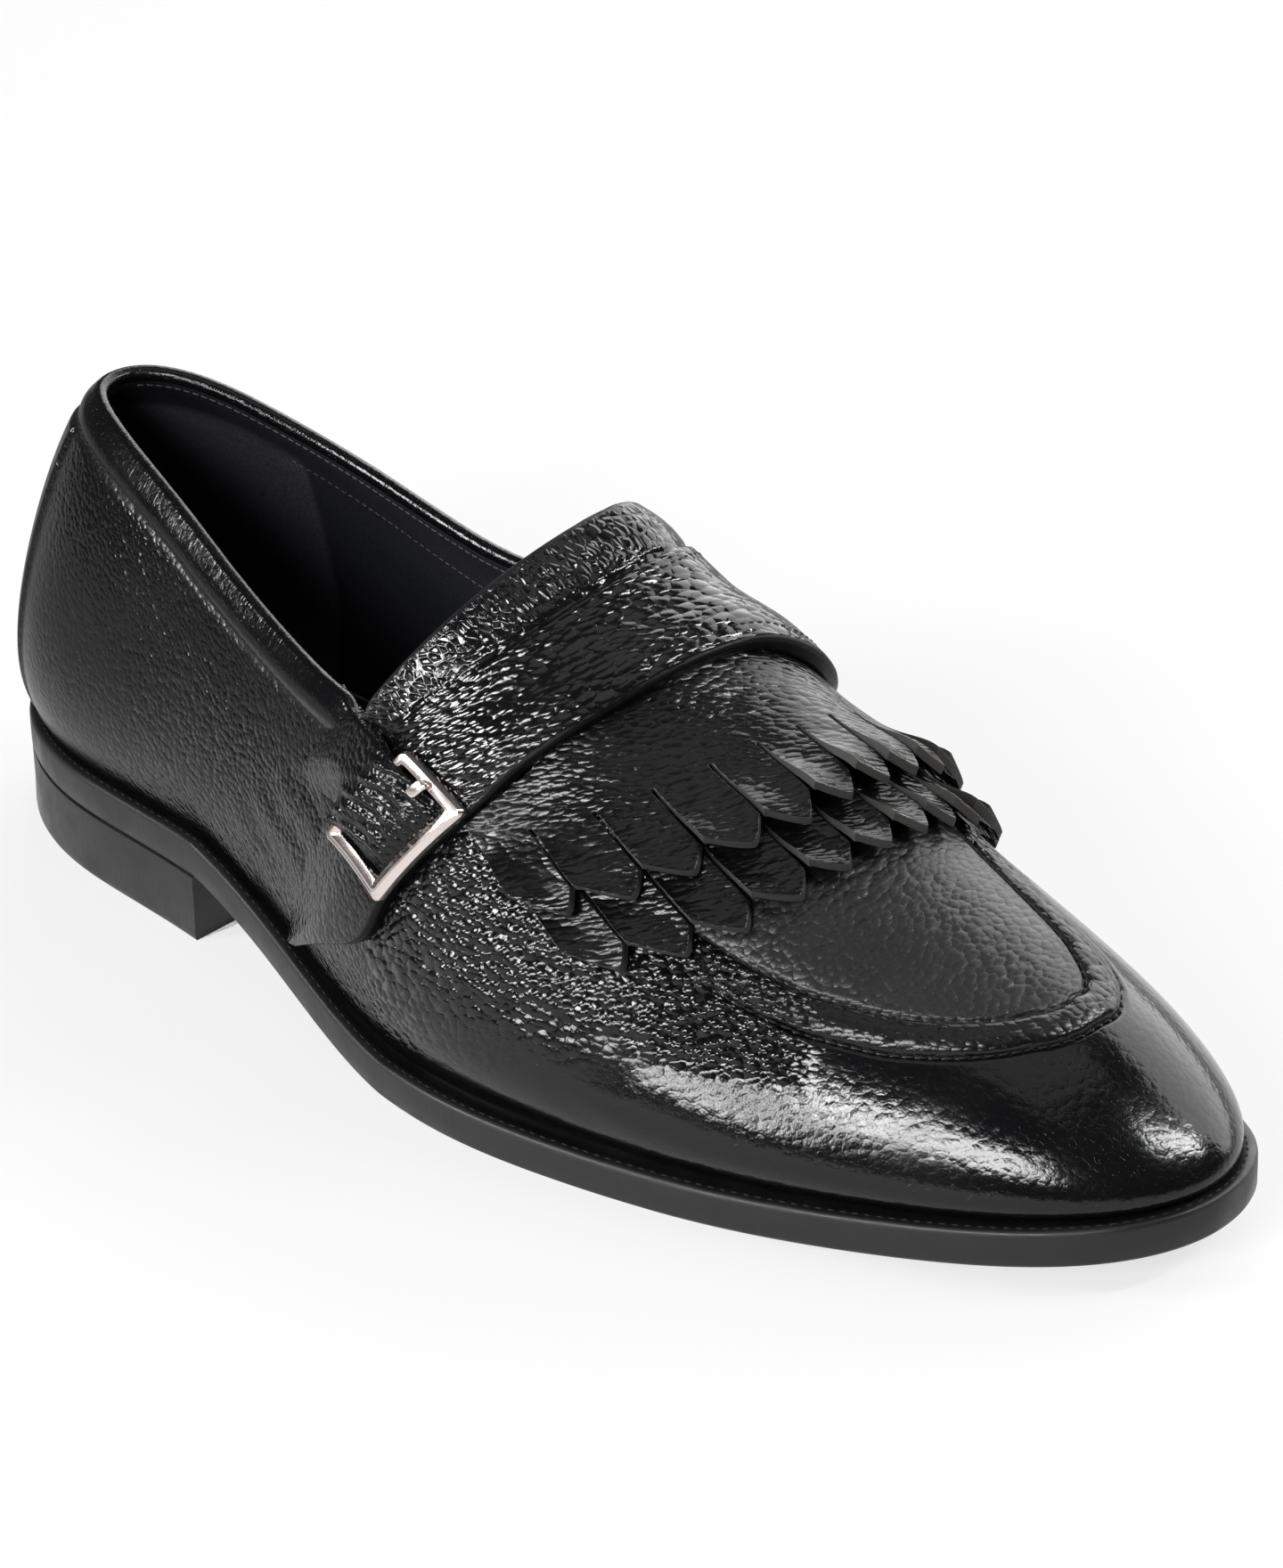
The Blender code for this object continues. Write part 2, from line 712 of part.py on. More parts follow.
def buckle_prong():
    """Finger that leaves the strap and rests over the front bar of the frame."""
    clear = BUCKLE_OFFSET + BAR_THICK + SOLE_GAP
    fall = clear - BUCKLE_OFFSET - 0.4
    half = PRONG_WIDE / BUCKLE_WIDE / 2
    bar = BAR_WIDE / BUCKLE_LONG

    def under(a, b):
        return clear - fall * float(ramp(b, bar + 0.02, bar + 0.11))

    across = np.linspace(0.5 - half, 0.5 + half, 3)
    along = np.linspace(-0.03, bar + 0.12, 8)
    return panel("buckle_prong", across, along, under, PRONG_THICK, METAL)


def buckle_tab():
    """Leather of the quarter drawn over the rear bar and through the frame."""
    clear = BUCKLE_OFFSET + BAR_THICK + SOLE_GAP
    low = BUCKLE_OFFSET + 0.1
    bar = BAR_WIDE / BUCKLE_WIDE
    bar_long = BAR_WIDE / BUCKLE_LONG

    def under(a, b):
        hump = float(ramp(a, TAB_REAR, -0.02)) * (1 - float(ramp(a, bar, bar + 0.3)))
        return low + (clear - low) * hump

    front = 1 - bar - 0.06
    across = np.concatenate([np.linspace(TAB_REAR, 0, 6)[:-1], np.linspace(0, front, 9)])
    along = np.linspace(bar_long + TAB_SIDE_GAP, 1 - bar_long - TAB_END_GAP, 9)
    return panel("buckle_tab", across, along, under, TAB_THICK, LEATHER)


def main():
    for obj in list(bpy.data.objects):
        bpy.data.objects.remove(obj, do_unlink=True)
    outsole()
    heel()
    insole()
    upper()
    strap()
    fringe_upper()
    fringe_lower()
    buckle_frame()
    buckle_prong()
    buckle_tab()


main()
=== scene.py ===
"""Looks of the monk strap loafer: leather, lining, fringe, stitching, sole and buckle."""
import math

import bpy
import numpy as np
from mathutils import Matrix, Quaternion, Vector


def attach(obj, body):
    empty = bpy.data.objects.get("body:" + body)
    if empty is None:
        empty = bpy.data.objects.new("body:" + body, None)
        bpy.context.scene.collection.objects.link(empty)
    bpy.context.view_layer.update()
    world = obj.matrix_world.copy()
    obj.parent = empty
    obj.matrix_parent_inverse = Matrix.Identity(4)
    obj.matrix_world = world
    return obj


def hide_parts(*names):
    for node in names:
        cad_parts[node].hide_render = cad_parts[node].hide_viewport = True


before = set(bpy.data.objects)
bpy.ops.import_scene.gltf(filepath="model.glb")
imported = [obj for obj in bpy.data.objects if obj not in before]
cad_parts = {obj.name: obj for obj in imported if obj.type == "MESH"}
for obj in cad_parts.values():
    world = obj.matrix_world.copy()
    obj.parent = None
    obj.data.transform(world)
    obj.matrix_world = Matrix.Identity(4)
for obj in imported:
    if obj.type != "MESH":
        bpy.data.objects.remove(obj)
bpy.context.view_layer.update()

BODY = "root"

# The last, as in the part. Millimetres: x from the back of the heel, y to the inner side, z up.
MM = 0.001
ORIGIN = np.array([151.0, -3.23, 0.0])
SOLE_LENGTH = 302.0
SOLE_TOE_Y = 4.5
SOLE_THICK = 7.6
SOLE_GAP = 0.3
HEEL_HEIGHT = 14.6
HEEL_BREAST_X = 76.0
TREAD_START_X = 145.0
TREAD_END_X = 212.0
TOE_SPRING = 8.6
TOE_SPRING_POWER = 1.8
SHANK_ROUND = 0.3
# x, outer side y, inner side y
SOLE_ROWS = [
    (10, -18.5, 19.5), (35, -30.5, 30.5), (70, -35, 31), (100, -41, 28),
    (130, -49.5, 29), (160, -55, 37.5), (190, -53, 46.5), (220, -46.5, 48.5),
    (250, -37, 44), (276, -26.5, 35.5), (294, -14, 24.5)]
FEATHER_START_X = 3.0
FEATHER_END_X = 298.5
FEATHER_ROWS = [
    (12, -17.5, 17.5), (35, -27.5, 27.5), (70, -31.5, 28), (100, -37, 24.5),
    (130, -45, 25), (160, -50, 33), (190, -48, 42), (220, -41.5, 44),
    (250, -32.3, 40), (274, -23, 32.5), (290, -12.5, 22)]
# x, ridge z, ridge y, side bulge, fullness of the profile
SECTION_ROWS = [
    (0, 103.5, 2, 3.2, 1.95), (40, 103.5, 2, 3.4, 1.95), (80, 106, 2, 3.5, 2.0),
    (110, 109, 2, 3.5, 2.1), (140, 110, 3, 4.5, 2.25), (165, 96, 4.5, 5.0, 2.25),
    (190, 78.5, 5.5, 5.5, 2.15), (215, 63.5, 6, 5.5, 2.1), (240, 52.5, 6, 5.0, 2.2),
    (265, 43.5, 6, 3.6, 2.4), (302, 31, 5, 1.8, 2.5)]
BULGE_PEAK = 0.22
TOE_FAN_X = 205.0
TOE_POLE_X = 262.0
HEEL_FAN_X = 85.0
HEEL_POLE_X = 36.0
# Collar, seen from the outer side: x, z; the inner side rises over it along a stretch of x
TOPLINE_ROWS = [
    (-6, 93), (15, 93), (30, 91.5), (45, 88), (60, 83.5), (80, 77), (100, 72),
    (115, 70.2), (130, 70.1)]
INNER_RISE = 5.0
INNER_RISE_X = (45, 100)
THROAT_SLOPE = 37.0 / 24.0
NOTCH_X = {-1: TOPLINE_ROWS[-1][0], 1: TOPLINE_ROWS[-1][0] + INNER_RISE / THROAT_SLOPE}
# The lowered throat line eases in over this length behind the notch
NOTCH_EASE = 8.0

# Upper; the slots are the places of its materials
VAMP_SLOT, LINING_SLOT, APRON_SLOT, QUARTER_SLOT = range(4)
WALL = 2.2
RIM_WALL_FADE = 9.0
COLLAR_ROLL = 1.7
ROLL_REACH = 1.15
COLLAR_BAND = 6.5
COLLAR_PUFF = 0.5
COLLAR_SEAM_DEPTH = 0.35
COLLAR_FADE_X = (120, 130)
SEAM_DROP = 11.0
THROAT_DROP = 4.0
QUARTER_END_X = 142.0
# Depth below the collar line that stands for the part in front of the throat
FAR_BELOW = 99.0
STRIP_HALF = 21.5
STRIP_HEIGHT = 0.8
POCKET_X = 52.0
UPPER_STATIONS = 380
UPPER_ROWS = 90
LINING_ROWS = 34
ROLL_STEPS = 10
# station x, outer side centre of the apron bead, inner side centre, from the ridge
BEAD_ROWS = [
    (150, 52, 34), (204, 46.5, 27), (220, 42.5, 22), (232, 38.7, 20), (249, 31.4, 18),
    (262, 24.5, 16.5), (278, 15.5, 13), (290, 10.5, 10), (298.5, 8, 8)]
BEAD_HALF = 3.4
BEAD_HEIGHT = 1.0
BEAD_GROOVE = 0.75
BEAD_FADE_X = (206, 224)
APRON_SINK = 0.15
# Mesh rows at the bead: room on either side, least ridge distance, shares of the rows, station from
# which they hold in full
BEAD_ROOM = 5.5
BEAD_LEAST = 1.5
BEAD_SHARES = (0, 0.36, 0.72, 1)
BEAD_FORMED_X = 198.0
# Stations over which the apron's grain starts, the calm heel ends and the vamp's deep grain starts
APRON_FADE_X = (190, 205)
HEEL_FADE_X = (30, 90)
DEEP_GRAIN_X = (198, 214)
# Smooth toe: below a slanted line, given as ridge distance plus slope times station, and in front of
# a line where station plus ridge distance is fixed, or beyond a station
TOE_LINE_SLOPE = 0.585
TOE_LINE = (183, 190)
TOE_REAR = (252, 279)
TOE_SMOOTH_X = (227, 239)

# Strap: distance from the ridge (outer side minus), front edge x
STRAP_FRONT_ROWS = [
    (-110, 119), (-105.5, 135), (-101, 143), (-92, 147.8), (-76, 155.4), (-62.4, 162.4),
    (-43, 171.1), (-24, 178.4), (-10, 181.8), (4.6, 184.3), (16.7, 185.6), (30, 184),
    (45, 178), (60, 169), (72, 160), (82, 150), (88, 141), (92, 128)]
STRAP_REAR_OUTER = (-110, 104)
STRAP_REAR_INNER = (92, 106)
STRAP_THICK = 2.3
STRAP_GAP = 0.3
STRAP_LIFT = 2.6
STRAP_ROLL = 2.4
STRAP_MARGIN = 2.6
FRONT_RISE = 0.2
RIM_BAND = 9.5
RIM_PUFF = 0.7
LAP_STEP = 0.7
LAP_GROOVE = 0.4
LAP_MIDDLE = 4.0
LAP_FADE = (38, 56)
# Lift over the fringe: ridge distances over which it ends, by side, and share of the width over which
# it rises
LIFT_END = {-1: (46, 58), 1: (40, 50)}
LIFT_SPAN = (0.5, 0.85)
# Quarter: where the band becomes it, from the end of the throat line, and how its rear edge is sunk
QUARTER_BLEND = (-5, 8)
QUARTER_SINK = 0.5
SINK_SPAN = (0.0, 0.75)
# Front edge: rounding, and the mesh columns from the end at which its near black material, edge paint and
# painted shade, starts
EDGE_ROUND = 0.66
EDGE_COLUMNS = 9

# Fringe: slit lines as distances from the ridge, outer side minus
FLAP_LINES = [-64, -53.3, -41.6, -30.6, -19.4, -9.7, -0.9, 7, 15, 24, 33.5, 43, 52]
FLAP_CORNER_X = 211.0
FLAP_CORNER_CURVE = 0.0072
FLAP_CORNER_T = 5.0
FLAP_LENGTH = 12.0
FLAP_POINT = 4.5
FLAP_POINT_AT = 0.6
SLIT_HALF = 0.4
LAYER_STEP = 11.5
LAYER_THICK = 1.8
UPPER_LAYER_OFFSET = 2.7
LOWER_LAYER_OFFSET = 0.5
FLAP_CURL = 1.9
FLAP_CUT = 0.6
FLAP_SIDE_CUT = 0.3
FLAP_CUP = 0.3
TUCK = 4.5
TUCK_EASE = 11.0
ROOT_GAP = 0.6

# Buckle: station x and distance from the ridge of the four corners
BUCKLE_TOP = (147.8, -60.3)
BUCKLE_FRONT = (163.4, -60.2)
BUCKLE_LOW = (149.5, -88.9)
BUCKLE_REAR = (132.0, -84.2)
BUCKLE_WIDE = 19.0
BUCKLE_LONG = 27.5
BAR_WIDE = 3.1
BAR_THICK = 2.2
BUCKLE_OFFSET = 3.0
# Prong: half width, half thickness, room over the frame; how far it goes past the bar, as a share of the
# buckle's length, and how far it dips there
PRONG_HALF = 1.3
PRONG_RISE = 0.75
PRONG_CLEAR = 0.15
PRONG_PAST = 0.1
PRONG_DIP = 0.2
# Section of the frame's bars: shares of the width and of the thickness
BAR_SECTION = [
    (-0.5, 0), (-0.5, 0.55), (-0.47, 0.66), (-0.32, 0.98), (-0.27, 1.0), (0.27, 1.0),
    (0.32, 0.98), (0.47, 0.66), (0.5, 0.55), (0.5, 0)]
# Buckle tab along the buckle's width: share from rear to front, height of its face, its upper edge
TAB_ROWS = [
    (-2.4, -2.0, -0.3), (-1.9, -1.2, -0.12), (-1.5, -0.5, -0.02), (-1.1, 1.4, 0.035),
    (-0.8, 3.3, 0.055), (-0.45, 4.5, 0.075), (-0.08, 6.1, 0.12), (0.12, 6.5, 0.14),
    (0.3, 5.7, 0.14), (0.45, 5.4, 0.14), (0.6, 5.2, 0.14), (0.75, 4.2, 0.14), (0.84, 3.0, 0.14)]
TAB_THICK = 1.3
TAB_ROLL = 0.2
TAB_FOLD = 0.24

# Camera fitted to the photograph: degrees, millimetres, and pixels of a 1440 by 1760 image
CAMERA_AZIMUTH = 44.85
CAMERA_ELEVATION = 29.2
CAMERA_ROLL = -2.0
CAMERA_DISTANCE = 1260.0
CAMERA_AIM = np.array([150.0, 0.0, 40.0])
IMAGE_LONG_SIDE = 1760.0
FOCAL_PIXELS = 7430.0
SHIFT_PIXELS = (61.5, 36.0)
SENSOR = 36.0


def spline(knots, values, at):
    """Natural cubic through the knots."""
    k = np.asarray(knots, float)
    v = np.asarray(values, float)
    n = len(k)
    h = np.diff(k)
    a = np.zeros((n, n))
    r = np.zeros(n)
    a[0, 0] = 1.0
    a[-1, -1] = 1.0
    for i in range(1, n - 1):
        a[i, i - 1] = h[i - 1]
        a[i, i] = 2 * (h[i - 1] + h[i])
        a[i, i + 1] = h[i]
        r[i] = 6 * ((v[i + 1] - v[i]) / h[i] - (v[i] - v[i - 1]) / h[i - 1])
    m = np.linalg.solve(a, r)
    x = np.asarray(at, float)
    i = np.clip(np.searchsorted(k, x) - 1, 0, n - 2)
    p = (k[i + 1] - x) / h[i]
    q = 1 - p
    bend = ((p ** 3 - p) * m[i] + (q ** 3 - q) * m[i + 1]) * h[i] ** 2 / 6
    return p * v[i] + q * v[i + 1] + bend


def ramp(x, a, b):
    """Smooth step from 0 at a to 1 at b."""
    t = np.clip((np.asarray(x, float) - a) / (b - a), 0, 1)
    return t * t * (3 - 2 * t)


def bell(x, half):
    return np.exp(-(np.asarray(x, float) / half) ** 2)


def column(rows, i):
    return np.array([row[i] for row in rows], float)


def unit(v):
    return v / np.maximum(np.linalg.norm(v, axis=-1, keepdims=True), 1e-9)


def runs(*parts):
    """Evenly spaced values in joined runs, each given by its start, end and count."""
    return np.concatenate([np.linspace(*part)[:-1] for part in parts[:-1]] + [np.linspace(*parts[-1])])


def run_length(points):
    """Length along a line of points, from its first."""
    return np.concatenate([[0.0], np.cumsum(np.linalg.norm(np.diff(points, axis=0), axis=1))])


def law(rows, i, at):
    """Natural cubic through one column of a table over its first column."""
    return spline(column(rows, 0), column(rows, i), at)


class Outline:
    """Closed plan outline, one curve per side, over an angle from heel (0) to toe (pi)."""

    def __init__(self, rows, start, end, toe_y):
        self.start = start
        self.end = end
        self.knots = np.concatenate([[0.0], self.angle(column(rows, 0)), [math.pi]])
        self.sides = {}
        for side, i in ((-1, 1), (1, 2)):
            self.sides[side] = np.concatenate([[0.0], column(rows, i), [toe_y]])

    def angle(self, x):
        share = (np.asarray(x, float) - self.start) / (self.end - self.start)
        return np.arccos(np.clip(1 - 2 * share, -1, 1))

    def station(self, angle):
        return self.start + (self.end - self.start) * (1 - np.cos(angle)) / 2

    def at(self, angle, side):
        return np.stack([self.station(angle), spline(self.knots, self.sides[side], angle)], -1)

    def outward(self, angle, side):
        step = 1e-4
        d = self.at(np.minimum(angle + step, math.pi), side) - self.at(np.maximum(angle - step, 0), side)
        n = unit(np.stack([d[..., 1], -d[..., 0]], -1) * -side)
        n[angle < 1e-6] = (-1.0, 0.0)
        n[angle > math.pi - 1e-6] = (1.0, 0.0)
        return n


SOLE = Outline(SOLE_ROWS, 0.0, SOLE_LENGTH, SOLE_TOE_Y)
FEATHER = Outline(FEATHER_ROWS, FEATHER_START_X, FEATHER_END_X, SOLE_TOE_Y)


def sole_bottom(x):
    """Underside height: heel seat, shank, flat tread and toe spring."""
    x = np.asarray(x, float)
    t = np.clip((x - HEEL_BREAST_X) / (TREAD_START_X - HEEL_BREAST_X), 0, 1)
    shank = SHANK_ROUND * (1 - t) ** 2 * (1 + 2 * t) + (1 - SHANK_ROUND) * (1 - t) ** 1.25
    u = np.clip((x - TREAD_END_X) / (SOLE_LENGTH - TREAD_END_X), 0, 1)
    return HEEL_HEIGHT * shank + TOE_SPRING * u ** TOE_SPRING_POWER


def section(i, x):
    return law(SECTION_ROWS, i, x)


def ridge_x(x):
    """Ridge position of a station, gathered to a pole at the toe and at the heel."""
    toe_span = FEATHER_END_X - TOE_FAN_X
    toe_rise = TOE_POLE_X - TOE_FAN_X
    toe = np.clip((x - TOE_FAN_X) / toe_span, 0, 1)
    heel_span = HEEL_FAN_X - FEATHER_START_X
    heel_rise = HEEL_FAN_X - HEEL_POLE_X
    heel = np.clip((HEEL_FAN_X - x) / heel_span, 0, 1)
    front = TOE_FAN_X + toe_rise * (1 - (1 - toe) ** (toe_span / toe_rise))
    back = HEEL_FAN_X - heel_rise * (1 - (1 - heel) ** (heel_span / heel_rise))
    return np.where(x > TOE_FAN_X, front, np.where(x < HEEL_FAN_X, back, x))


def topline(x, side):
    """Side view height of the collar, then of the throat line in front of it."""
    x = np.asarray(x, float)
    notch_x, notch_z = TOPLINE_ROWS[-1]
    collar = law(TOPLINE_ROWS, 1, np.minimum(x, notch_x))
    if side > 0:
        collar = collar + INNER_RISE * ramp(x, *INNER_RISE_X)
    return np.maximum(collar, notch_z + (x - notch_x) * THROAT_SLOPE)


class Last:
    """The foot form as one sheet: rows are stations, columns run over the ridge between the feathers."""

    rows = 901
    half = 161

    def __init__(self):
        self.angles = np.linspace(0, math.pi, self.rows)
        self.stations = FEATHER.station(self.angles)
        outer, self.outer_girth = self.side_sheet(-1)
        inner, self.inner_girth = self.side_sheet(1)
        self.sheet = np.concatenate([outer, inner[:, ::-1][:, 1:]], axis=1)
        along = np.gradient(self.sheet, axis=0)
        across = np.gradient(self.sheet, axis=1)
        self.normals = unit(np.cross(along, across))
        for end in (0, -1):
            self.normals[end] = unit(self.normals[end] + self.normals[end][::-1])

    def side_sheet(self, side):
        foot = FEATHER.at(self.angles, side)
        out = FEATHER.outward(self.angles, side)
        ridge_at = ridge_x(self.stations)
        ridge = np.stack([ridge_at, section(2, ridge_at)], -1)
        base = (sole_bottom(self.stations) + SOLE_THICK + SOLE_GAP)[:, None]
        turn = np.linspace(0, math.pi / 2, 241)
        lean = 1 - np.cos(turn)
        rise = np.sin(turn) ** (2 / section(4, self.stations)[:, None])
        swell = rise / BULGE_PEAK * np.exp(1 - rise / BULGE_PEAK) * (1 - lean)
        swell = swell * section(3, self.stations)[:, None]
        plan = (foot[:, None] + out[:, None] * swell[..., None]
                + (ridge - foot)[:, None] * lean[None, :, None])
        z = base + (section(1, plan[..., 0]) - base) * rise
        points = np.concatenate([plan, z[..., None]], -1)
        steps = np.linalg.norm(np.diff(points, axis=1), axis=2)
        length = np.concatenate([np.zeros((self.rows, 1)), np.cumsum(steps, axis=1)], axis=1)
        even = np.linspace(0, 1, self.half)
        sheet = np.empty((self.rows, self.half, 3))
        for i in range(self.rows):
            for k in range(3):
                sheet[i, :, k] = np.interp(even * length[i, -1], length[i], points[i, :, k])
        return sheet, length[:, -1]

    def girth(self, x, side):
        return np.interp(x, self.stations, self.outer_girth if side < 0 else self.inner_girth)

    def sample(self, grid, x, t):
        x, t = np.broadcast_arrays(np.asarray(x, float), np.asarray(t, float))
        reach = np.where(t < 0, self.girth(x, -1), self.girth(x, 1))
        row = FEATHER.angle(x) / math.pi * (self.rows - 1)
        col = np.clip((self.half - 1) * (1 + t / reach), 0, 2 * (self.half - 1))
        i = np.minimum(row.astype(int), self.rows - 2)
        j = np.minimum(col.astype(int), 2 * self.half - 3)
        f = (row - i)[..., None]
        g = (col - j)[..., None]
        near = grid[i, j] * (1 - g) + grid[i, j + 1] * g
        far = grid[i + 1, j] * (1 - g) + grid[i + 1, j + 1] * g
        return near * (1 - f) + far * f

    def point(self, x, t):
        return self.sample(self.sheet, x, t)

    def normal(self, x, t):
        return unit(self.sample(self.normals, x, t))

    def lifted(self, x, t, offset):
        return self.point(x, t) + self.normal(x, t) * np.asarray(offset)[..., None]


LAST = Last()


def throat_station(drop=0.0):
    """Station where the throat line, lowered by drop, meets the ridge."""
    xs = np.linspace(NOTCH_X[1], TOE_FAN_X, 4001)
    return float(xs[np.argmax(topline(xs, 1) - drop > section(1, xs))])


def rim_distance(x, side, drop=0.0):
    """Distance from the ridge to the collar line, lowered by drop, at each station."""
    share = np.linspace(0, 1, 600)
    out = []
    for station in np.atleast_1d(x):
        reach = float(LAST.girth(station, side)) * share
        p = LAST.point(np.full(len(share), station), side * reach)
        lowered = drop * float(ramp(station, NOTCH_X[side] - NOTCH_EASE, NOTCH_X[side]))
        over = p[:, 2] - topline(p[:, 0], side) + lowered
        i = int(np.argmax(over < 0))
        if i == 0:
            out.append(0.0)
            continue
        f = over[i - 1] / (over[i - 1] - over[i])
        out.append(reach[i - 1] + f * (reach[i] - reach[i - 1]))
    return np.array(out)


class Piece:
    """Collects points, faces, skin coordinates and surface traits, then makes one object."""

    def __init__(self, name):
        self.name = name
        self.points = []
        self.skin = []
        self.traits = {"grain": [], "dull": [], "pleat": []}
        self.faces = []
        self.slots = []
        self.count = 0

    def add(self, points, faces, skin=None, grain=1.0, dull=0.0, pleat=0.0, slot=0):
        points = np.asarray(points, float).reshape(-1, 3)
        n = len(points)
        self.points.append(points)
        self.skin.append(np.zeros((n, 2)) if skin is None else np.asarray(skin, float).reshape(-1, 2))
        for name, values in (("grain", grain), ("dull", dull), ("pleat", pleat)):
            self.traits[name].append(np.broadcast_to(np.asarray(values, float).ravel(), n))
        self.faces += (np.asarray(faces) + self.count).tolist()
        self.slots += [slot] * len(faces)
        self.count += n

    def make(self, materials, stands_for=(), sharp=None, bevel=None):
        points = np.concatenate(self.points)
        skin = np.concatenate(self.skin)
        keys = np.round(points * 1000).astype(np.int64)
        _, first, place = np.unique(keys, axis=0, return_index=True, return_inverse=True)
        place = place.ravel()
        faces = []
        corners = []
        slots = []
        for face, slot in zip(self.faces, self.slots):
            ring = []
            source = []
            for v in face:
                if place[v] not in ring:
                    ring.append(int(place[v]))
                    source.append(v)
            if len(ring) > 2:
                faces.append(ring)
                corners += source
                slots.append(slot)
        mesh = bpy.data.meshes.new(self.name)
        mesh.from_pydata(((points[first] - ORIGIN) * MM).tolist(), [], faces)
        mesh.polygons.foreach_set("material_index", slots)
        layer = mesh.uv_layers.new(name="skin")
        layer.data.foreach_set("uv", (skin[corners] * MM).ravel())
        for name, values in self.traits.items():
            attribute = mesh.attributes.new(name, "FLOAT", "POINT")
            attribute.data.foreach_set("value", np.concatenate(values)[first])
        mesh.shade_smooth()
        if sharp is not None:
            mesh.set_sharp_from_angle(angle=math.radians(sharp))
        for material in materials:
            mesh.materials.append(material)
        obj = bpy.data.objects.new(self.name, mesh)
        bpy.context.scene.collection.objects.link(obj)
        if bevel is not None:
            edge = obj.modifiers.new("edge", "BEVEL")
            edge.width = bevel * MM
            edge.segments = 2
            edge.limit_method = "ANGLE"
            edge.angle_limit = math.radians(40)
        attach(obj, BODY)
        if stands_for:
            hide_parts(*stands_for)
        return obj


def grid_faces(rows, columns, flip=False, wrap=False):
    """Quads of a grid; wrap joins the last row to the first."""
    i, j = np.meshgrid(np.arange(rows if wrap else rows - 1), np.arange(columns - 1), indexing="ij")
    below = ((i + 1) % rows) * columns
    ring = np.stack([i * columns + j, below + j, below + j + 1, i * columns + j + 1], -1).reshape(-1, 4)
    return ring[:, ::-1] if flip else ring


def bead_centre(x, side):
    """Distance from the ridge to the centre of the apron bead on one side."""
    return np.interp(x, column(BEAD_ROWS, 0), column(BEAD_ROWS, 1 if side < 0 else 2))


def bead_offset(x, t):
    """Signed distance from the centre of the apron bead; positive towards the sole."""
    return np.abs(t) - np.where(t < 0, bead_centre(x, -1), bead_centre(x, 1))


# Soft creases: start x and t, end x and t, depth, half width
CREASES = [
    (98, -84, 118, -104, 0.35, 2.6), (104, -78, 126, -98, 0.3, 2.2), (88, -88, 106, -108, 0.3, 2.6),
    (112, -74, 131, -90, 0.25, 1.8), (74, -92, 92, -112, 0.2, 3.0), (60, -84, 80, -96, 0.2, 3.4),
    (176, -76, 196, -64, 0.3, 2.2), (171, -84, 196, -74, 0.25, 2.4), (182, -88, 206, -72, 0.25, 2.6),
    (190, -92, 214, -78, 0.2, 2.8), (176, 70, 200, 58, 0.3, 2.4), (170, 80, 198, 68, 0.25, 2.6),
    (96, 70, 116, 90, 0.3, 2.4), (84, 74, 104, 96, 0.3, 2.8)]
# They are softened by a share, waver sideways, fade out at their ends and have a low ridge on either side
CREASE_SHARE = 0.6
CREASE_WAVER = 1.2
CREASE_WAVE = 0.23
CREASE_FADE = 4.0
CREASE_RIDGE = 0.45
CREASE_RIDGE_AT = 1.9


def crease_depth(x, t):
    """Depth of all creases together at stations x and ridge distances t."""
    total = np.zeros(np.broadcast(x, t).shape)
    for x0, t0, x1, t1, depth, half in CREASES:
        dx, dt = x1 - x0, t1 - t0
        span = math.hypot(dx, dt)
        along = ((x - x0) * dx + (t - t0) * dt) / span
        across = ((x - x0) * dt - (t - t0) * dx) / span
        across = across + CREASE_WAVER * np.sin(along * CREASE_WAVE + x0)
        starts = ramp(along, -CREASE_FADE, CREASE_FADE)
        ends = starts * (1 - ramp(along, span - CREASE_FADE, span + CREASE_FADE))
        ridges = CREASE_RIDGE * bell(np.abs(across) - CREASE_RIDGE_AT * half, half)
        total += CREASE_SHARE * depth * ends * (bell(across, half) - ridges)
    return total


def upper_relief(x, t, below_rim, from_seam):
    """Height of the leather over the last: apron bead, creases, collar band and back strip."""
    off = bead_offset(x, t)
    bead = BEAD_HEIGHT * np.sqrt(np.clip(1 - (off / BEAD_HALF) ** 2, 0, 1))
    groove = BEAD_GROOVE * bell(np.abs(off) - BEAD_HALF - 0.3, 0.55)
    height = ramp(x, *BEAD_FADE_X) * (bead - groove - APRON_SINK * (off < 0))
    height = height - crease_depth(x, t)
    puff = COLLAR_PUFF * np.sin(np.clip(below_rim / COLLAR_BAND, 0, 1) * math.pi)
    seam = COLLAR_SEAM_DEPTH * bell(below_rim - COLLAR_BAND, 0.7)
    height = height + (1 - ramp(x, *COLLAR_FADE_X)) * (puff - seam)
    strip = 1 - ramp(from_seam, STRIP_HALF - 0.6, STRIP_HALF + 0.6)
    return height + STRIP_HEIGHT * strip * ramp(below_rim, COLLAR_BAND, COLLAR_BAND + 2)


def skin_arc(angle, side):
    """Length along the side of the foot from the back seam, signed by side."""
    fine = np.linspace(0, math.pi, 2001)
    return side * np.interp(angle, fine, run_length(FEATHER.at(fine, side)))


def upper_distances(xs, side, apex, girth, edge):
    """Ridge distances of the mesh rows: even behind the throat, closing up at the bead in front of it."""
    share = np.linspace(0, 1, UPPER_ROWS + 1)
    even = girth[:, None] + (edge - girth)[:, None] * share
    bead = bead_centre(xs, side)
    inside = np.maximum(bead - BEAD_ROOM, BEAD_LEAST)
    marks = np.stack([girth, bead + BEAD_ROOM, inside, np.zeros(len(xs))], -1)
    formed = np.array([np.interp(share, BEAD_SHARES, row) for row in marks])
    w = ramp(xs, apex, BEAD_FORMED_X)[:, None]
    return even * (1 - w) + formed * w


